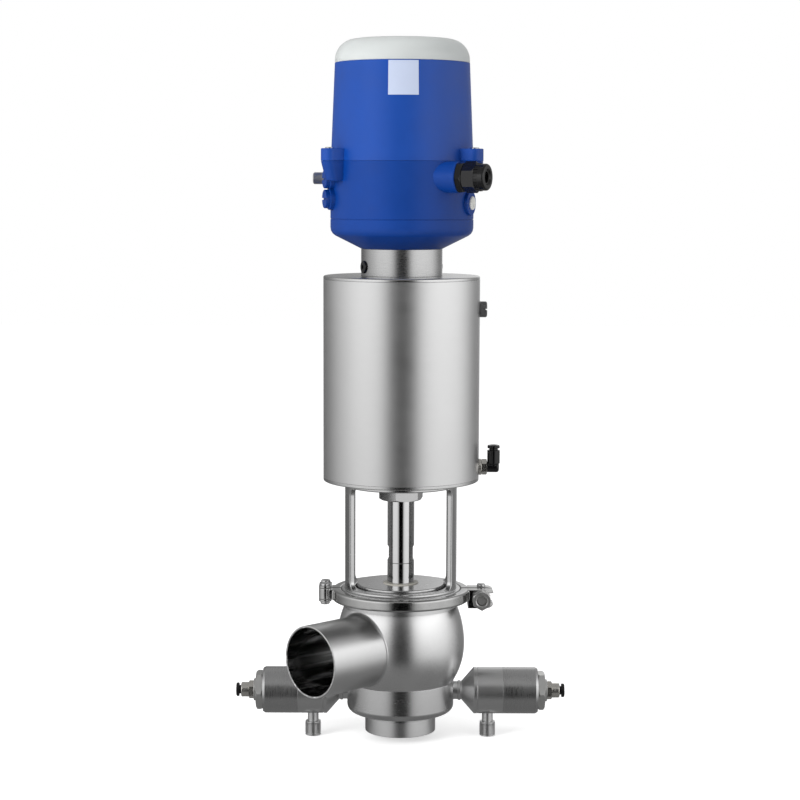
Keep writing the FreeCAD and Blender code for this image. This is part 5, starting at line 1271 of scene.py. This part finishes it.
for sideName, turn in (("right", 0), ("left", 180)):
    halfTurn = Matrix.Rotation(math.radians(turn), 4, "Z")
    line = halfTurn @ purgeLine
    body = turned("purge body", [
        (purge["boreR"], seat["leakR"]), (purge["neckR"], seat["leakR"]),
        (purge["neckR"], purge["bulge"][0], 0.3), (purge["bulgeR"], purge["bulge"][1], 0.3),
        (purge["bulgeR"], purge["bulge"][2], 0.5), (purge["neckR"], purge["bulge"][3], 0.6),
        (purge["coneR"], purge["cone"], 0.8), (purge["coneEndR"], purge["coneEnd"], 0.5),
        (purge["radius"], purge["coneEnd"] + 0.6, 0.2), (purge["radius"], purge["groove"][0], 0.25),
        (purge["grooveR"], purge["groove"][1], 0.1), (purge["grooveR"], purge["groove"][2], 0.1),
        (purge["radius"], purge["groove"][3], 0.25), (purge["radius"], purge["joint"], 0.15),
        (purge["roomR"], purge["joint"]), (purge["roomR"], purge["room"]),
        (purge["boreR"], purge["cone"])], 160, 0.2, purgeLine)
    cut(body, rod("housing", seat["radius"] - 0.1, 0, 60, 160))
    rootR = nozzle["radius"] - 0.85
    tipR = nozzle["radius"] - 0.15
    add(body, moved(turned("nozzle", [
        (0, nozzle["start"]), (nozzle["neckR"], nozzle["start"]), (nozzle["neckR"], nozzle["top"], 0.3),
        (nozzle["radius"] - 0.3, nozzle["top"], 0.3), (nozzle["radius"] - 0.3, nozzle["top"] - 1.3, 0.2),
        (rootR, nozzle["top"] - 1.6, 0.1), (rootR, nozzle["end"] + 1.8, 0.1),
        (tipR, nozzle["end"] + 1.4, 0.3), (tipR, nozzle["end"], 0.7), (0, nozzle["end"])], 96, 0.2),
        x=nozzle["x"]))
    cut(body, moved(rod("drain", nozzle["boreR"], nozzle["end"] - 1, purge["z"], 48), x=nozzle["x"]))
    ridges = moved(thread("nozzleThread", nozzle["radius"], nozzle["end"] + 1.6, nozzle["top"] - 1.2,
                          nozzle["pitch"], tubeSteel), x=nozzle["x"])
    body = placed(join(sideName + "PurgeBody", [body, ridges]), halfTurn)
    finished(body, tubeSteel, [sideName + "_purge_body"], 36.0)
    finished(turned(sideName + "PurgeCylinder", [
        (purge["rodHole"], purge["start"]), (purge["roomR"] - 0.05, purge["start"]),
        (purge["roomR"] - 0.05, purge["joint"]),
        (purge["radius"], purge["joint"], 0.15), (purge["radius"], purge["end"] - purge["bevel"], 0.3),
        (purge["bevelR"], purge["end"], 0.25), (purge["capR"], purge["end"], 0.2),
        (purge["capR"], purge["floor"]), (purge["rodHole"], purge["floor"])], 160, 0.15, line),
        darkSteel, [sideName + "_purge_cylinder"])
    purgeCap = join(sideName + "PurgeCap", [
        hexPiece("cap hexagon", cap["flats"], purge["end"], cap["hexEnd"], 30.0, purge["capPortR"], 0.6),
        turned("cap collar", [
            (purge["capPortR"], cap["hexEnd"]), (cap["collarR"], cap["hexEnd"], 0.3),
            (cap["collarR"], cap["end"], 0.5), (purge["capPortR"], cap["end"])], 96),
        turned("cap spigot", [
            (pushIn["bore"], cap["spigot"]), (cap["spigotR"], cap["spigot"], 0.4),
            (cap["spigotR"], purge["end"]), (purge["capPortR"], purge["end"]),
            (purge["capPortR"], cap["portEnd"]), (pushIn["bore"], cap["portEnd"])], 96)])
    finished(placed(purgeCap, line), fastenerSteel, [sideName + "_purge_cap"])
    fitting = turned("fitting", [
        (0, inlet["low"]), (stud["radius"], inlet["low"]), (stud["radius"], inlet["sleeve"]),
        (inlet["sleeveR"], inlet["sleeve"]), (inlet["sleeveR"], inlet["end"], 1.0),
        (0, inlet["end"])], 96, 0.2)
    add(fitting, hexPiece("fitting hexagon", inlet["flats"], cap["end"], inlet["hexEnd"], soft=0.4))
    cut(fitting, airSocket(inlet["low"] - 2, inlet["end"]))
    finished(placed(fitting, line), nickelBrass, [sideName + "_purge_fitting"], 32.0)
    finished(placed(colletPiece(sideName + "PurgeCollet", inlet["end"], 6.8), line), blackPlastic,
             [sideName + "_purge_collet"])
print("purge valves made")

# Clamp: two cast halves, hinged at the left and closed by a swing bolt at the right
clamp = {"low": 132.2, "high": 143.4, "radius": 68.0, "gap": 1.5, "innerR": 55.8, "topR": 59.3,
         "grooveR": 62.8, "grooveLow": 135.7, "grooveHigh": 140.5, "grain": 0.5}
lug = {"start": 66.4, "end": 92.5, "low": 125.0, "round": 6.0, "rear": 14.0, "front": 12.0, "rearSlot": 5.7,
       "frontSlot": 5.3, "slotEnd": 71.7, "frontEnd": 74.7, "swingR": 18.2}
pivot = {"x": 80.0, "y": 6.5, "z": 134.2, "radius": 3.0, "low": 124.0, "headR": 4.2, "headLow": 143.45,
         "top": 146.6}
hinge = {"x": -74.6, "y": 8.4, "radius": 6.2, "low": 133.4, "high": 144.8, "web": 13.1, "holeR": 2.65,
         "link": 2.0, "linkLow": (131.35, 144.85)}
ringLine = [(clamp["innerR"], clamp["low"], 0.3), (clamp["radius"], clamp["low"], 2.0),
            (clamp["radius"], clamp["high"], 2.5), (clamp["topR"], clamp["high"], 0.6),
            (clamp["topR"], clamp["grooveHigh"] + 1.0, 0.1), (clamp["grooveR"], clamp["grooveHigh"], 0.1),
            (clamp["grooveR"], clamp["grooveLow"], 0.1), (clamp["innerR"], clamp["grooveLow"] - 1.4, 0.1)]
lugLine = [(lug["start"], lug["low"]), (lug["end"], lug["low"], lug["round"]),
           (lug["end"], clamp["high"], lug["round"]), (lug["start"], clamp["high"])]


def rivetHole(way):
    return moved(rod("rivet hole", hinge["holeR"], 120, 160, 48), hinge["x"], way * hinge["y"])


def clampHalf(name, way, lugPiece):
    ring = turned(name, ringLine, 192, 0.1)
    nearY, farY = sorted((way * clamp["gap"], way * 100.0))
    keepInside(ring, slab("half", (-100, nearY, 120), (100, farY, 160)))
    barrel = moved(rod("knuckle", hinge["radius"], hinge["low"], hinge["high"], 64),
                   hinge["x"], way * hinge["y"])
    nearY, farY = sorted((way * clamp["gap"], way * hinge["web"]))
    add(barrel, slab("web", (hinge["x"], nearY, hinge["low"]), (-62.5, farY, clamp["high"])))
    for end in (lugPiece, barrel):
        cut(end, rod("round the ring", clamp["radius"] - 2, 110, 160, 192))
        add(ring, end)
    cut(ring, rivetHole(way))
    surface = ring.modifiers.new("cast surface", "REMESH")
    surface.mode = "VOXEL"
    surface.voxel_size = clamp["grain"] * mm
    surface.adaptivity = 0.0
    worn = ring.modifiers.new("worn edges", "SMOOTH")
    worn.factor = 0.5
    worn.iterations = 5
    return settle(ring)


rearLug = pushed("rear lug", lugLine, -lug["rear"], -clamp["gap"], 0.05, standUp)
cut(rearLug, slab("slot", (lug["slotEnd"], 0, pivot["z"] - lug["rearSlot"]),
                  (100, 20, pivot["z"] + lug["rearSlot"])))
cut(rearLug, moved(rod("pin hole", pivot["radius"] + 0.05, 110, 160, 48), pivot["x"], pivot["y"]))
finished(clampHalf("clampRear", 1, rearLug), castSteel, ["clamp_rear_half"], 60.0)
frontLug = pushed("front lug", lugLine, clamp["gap"], lug["front"], 0.05, standUp)
cut(frontLug, slab("slot", (lug["frontEnd"], -20, pivot["z"] - lug["frontSlot"]),
                   (100, 20, pivot["z"] + lug["frontSlot"])))
swing = slab("swing", (pivot["x"], -14, 110), (120, 2, 160))
cut(swing, moved(rod("swing room", lug["swingR"], 100, 170, 128), pivot["x"], pivot["y"]))
cut(frontLug, swing)
finished(clampHalf("clampFront", -1, frontLug), castSteel, ["clamp_front_half"], 60.0)
print("clamp halves made")

linkPlates = []
for low in hinge["linkLow"]:
    outline = []
    for way, start in ((1, 0), (-1, 180)):
        outline += arc((hinge["x"], way * hinge["y"]), hinge["radius"], start, start + 180, 16)
    plate = pushed("link", outline, low, low + hinge["link"])
    for way in (1, -1):
        cut(plate, rivetHole(way))
    linkPlates.append(softEdges(plate, 0.35))
finished(join("hingeLinks", linkPlates), castSteel, ["clamp_hinge_links"])
rivet = {"radius": 2.6, "headR": 4.6, "low": 131.3, "high": 146.9, "head": 2.75, "dome": 1.9}
rivetFoot = rivet["low"] - rivet["head"]
rivetTop = rivet["high"] + rivet["head"]
rivets = []
for way in (1, -1):
    rivets.append(moved(turned("rivet", [
        (0, rivetFoot), (rivet["headR"], rivetFoot, rivet["dome"]), (rivet["headR"], rivet["low"], 0.2),
        (rivet["radius"], rivet["low"]), (rivet["radius"], rivet["high"]),
        (rivet["headR"], rivet["high"], 0.2), (rivet["headR"], rivetTop, rivet["dome"]),
        (0, rivetTop)], 64, 0.0), hinge["x"], way * hinge["y"]))
finished(join("hingePins", rivets), turnedSteel, ["clamp_hinge_pins"])
finished(moved(turned("pivotPin", [
    (0, pivot["low"]), (pivot["radius"], pivot["low"], 0.5), (pivot["radius"], pivot["headLow"]),
    (pivot["headR"], pivot["headLow"], 0.2), (pivot["headR"], pivot["top"], 1.5),
    (0, pivot["top"])], 64, 0.0), pivot["x"], pivot["y"]), turnedSteel, ["clamp_pivot_pin"])

# The swing bolt lies along -Y from its eye, with its washer and nut
bolt = {"radius": 5.0, "rootR": 4.5, "tipR": 3.9, "eyeR": 8.0, "eye": 5.4, "end": 27.3, "shank": 16.0,
        "thread": (16.4, 27.0), "pitch": 1.5, "play": 0.07}
washer = {"radius": 9.0, "low": 18.5, "high": 20.0}
clampNut = {"flats": 17.0, "turn": 30.0, "low": 20.05, "high": 28.0, "sink": 1.2, "sinkR": 6.6}
boltLine = aim((pivot["x"], pivot["y"], pivot["z"]), (0, -1, 0))
eyeLow = pivot["z"] - bolt["eye"]
eyeHigh = pivot["z"] + bolt["eye"]
swingBolt = moved(turned("swingBolt", [
    (0, eyeLow), (bolt["eyeR"], eyeLow, 0.8), (bolt["eyeR"], eyeHigh, 0.8), (0, eyeHigh)], 96, 0.0),
    pivot["x"], pivot["y"])
add(swingBolt, turned("shank", [
    (0, 3.0), (bolt["radius"], 3.0), (bolt["radius"], bolt["shank"], 0.2),
    (bolt["rootR"], bolt["shank"] + 0.5), (bolt["rootR"], bolt["end"] - 0.7, 0.2),
    (bolt["tipR"], bolt["end"]), (0, bolt["end"])], 64, 0.0, boltLine))
cut(swingBolt, moved(rod("pin hole", pivot["radius"] + bolt["play"], 120, 150, 48), pivot["x"], pivot["y"]))
boltThread = thread("boltThread", bolt["radius"], *bolt["thread"], bolt["pitch"], turnedSteel)
finished(join("swingBolt", [swingBolt, placed(boltThread, boltLine)]), fastenerSteel,
         ["clamp_swing_bolt"], 34.0)
holeR = bolt["radius"] + bolt["play"]
finished(turned("clampWasher", [
    (holeR, washer["low"], 0.1), (washer["radius"], washer["low"], 0.25),
    (washer["radius"], washer["high"], 0.25), (holeR, washer["high"], 0.1)], 96, 0.1, boltLine),
    fastenerSteel, ["clamp_washer"])
nutPiece = hexPiece("clampNut", clampNut["flats"], clampNut["low"], clampNut["high"],
                    clampNut["turn"], holeR, 0.35)
sinkLow = clampNut["high"] - clampNut["sink"]
cut(nutPiece, turned("countersink", [
    (0, sinkLow), (bolt["radius"], sinkLow), (clampNut["sinkR"], clampNut["high"] + 0.4),
    (0, clampNut["high"] + 0.4)], 64, 0.0))
finished(placed(nutPiece, boltLine), fastenerSteel, ["clamp_nut"])
print("clamp made")
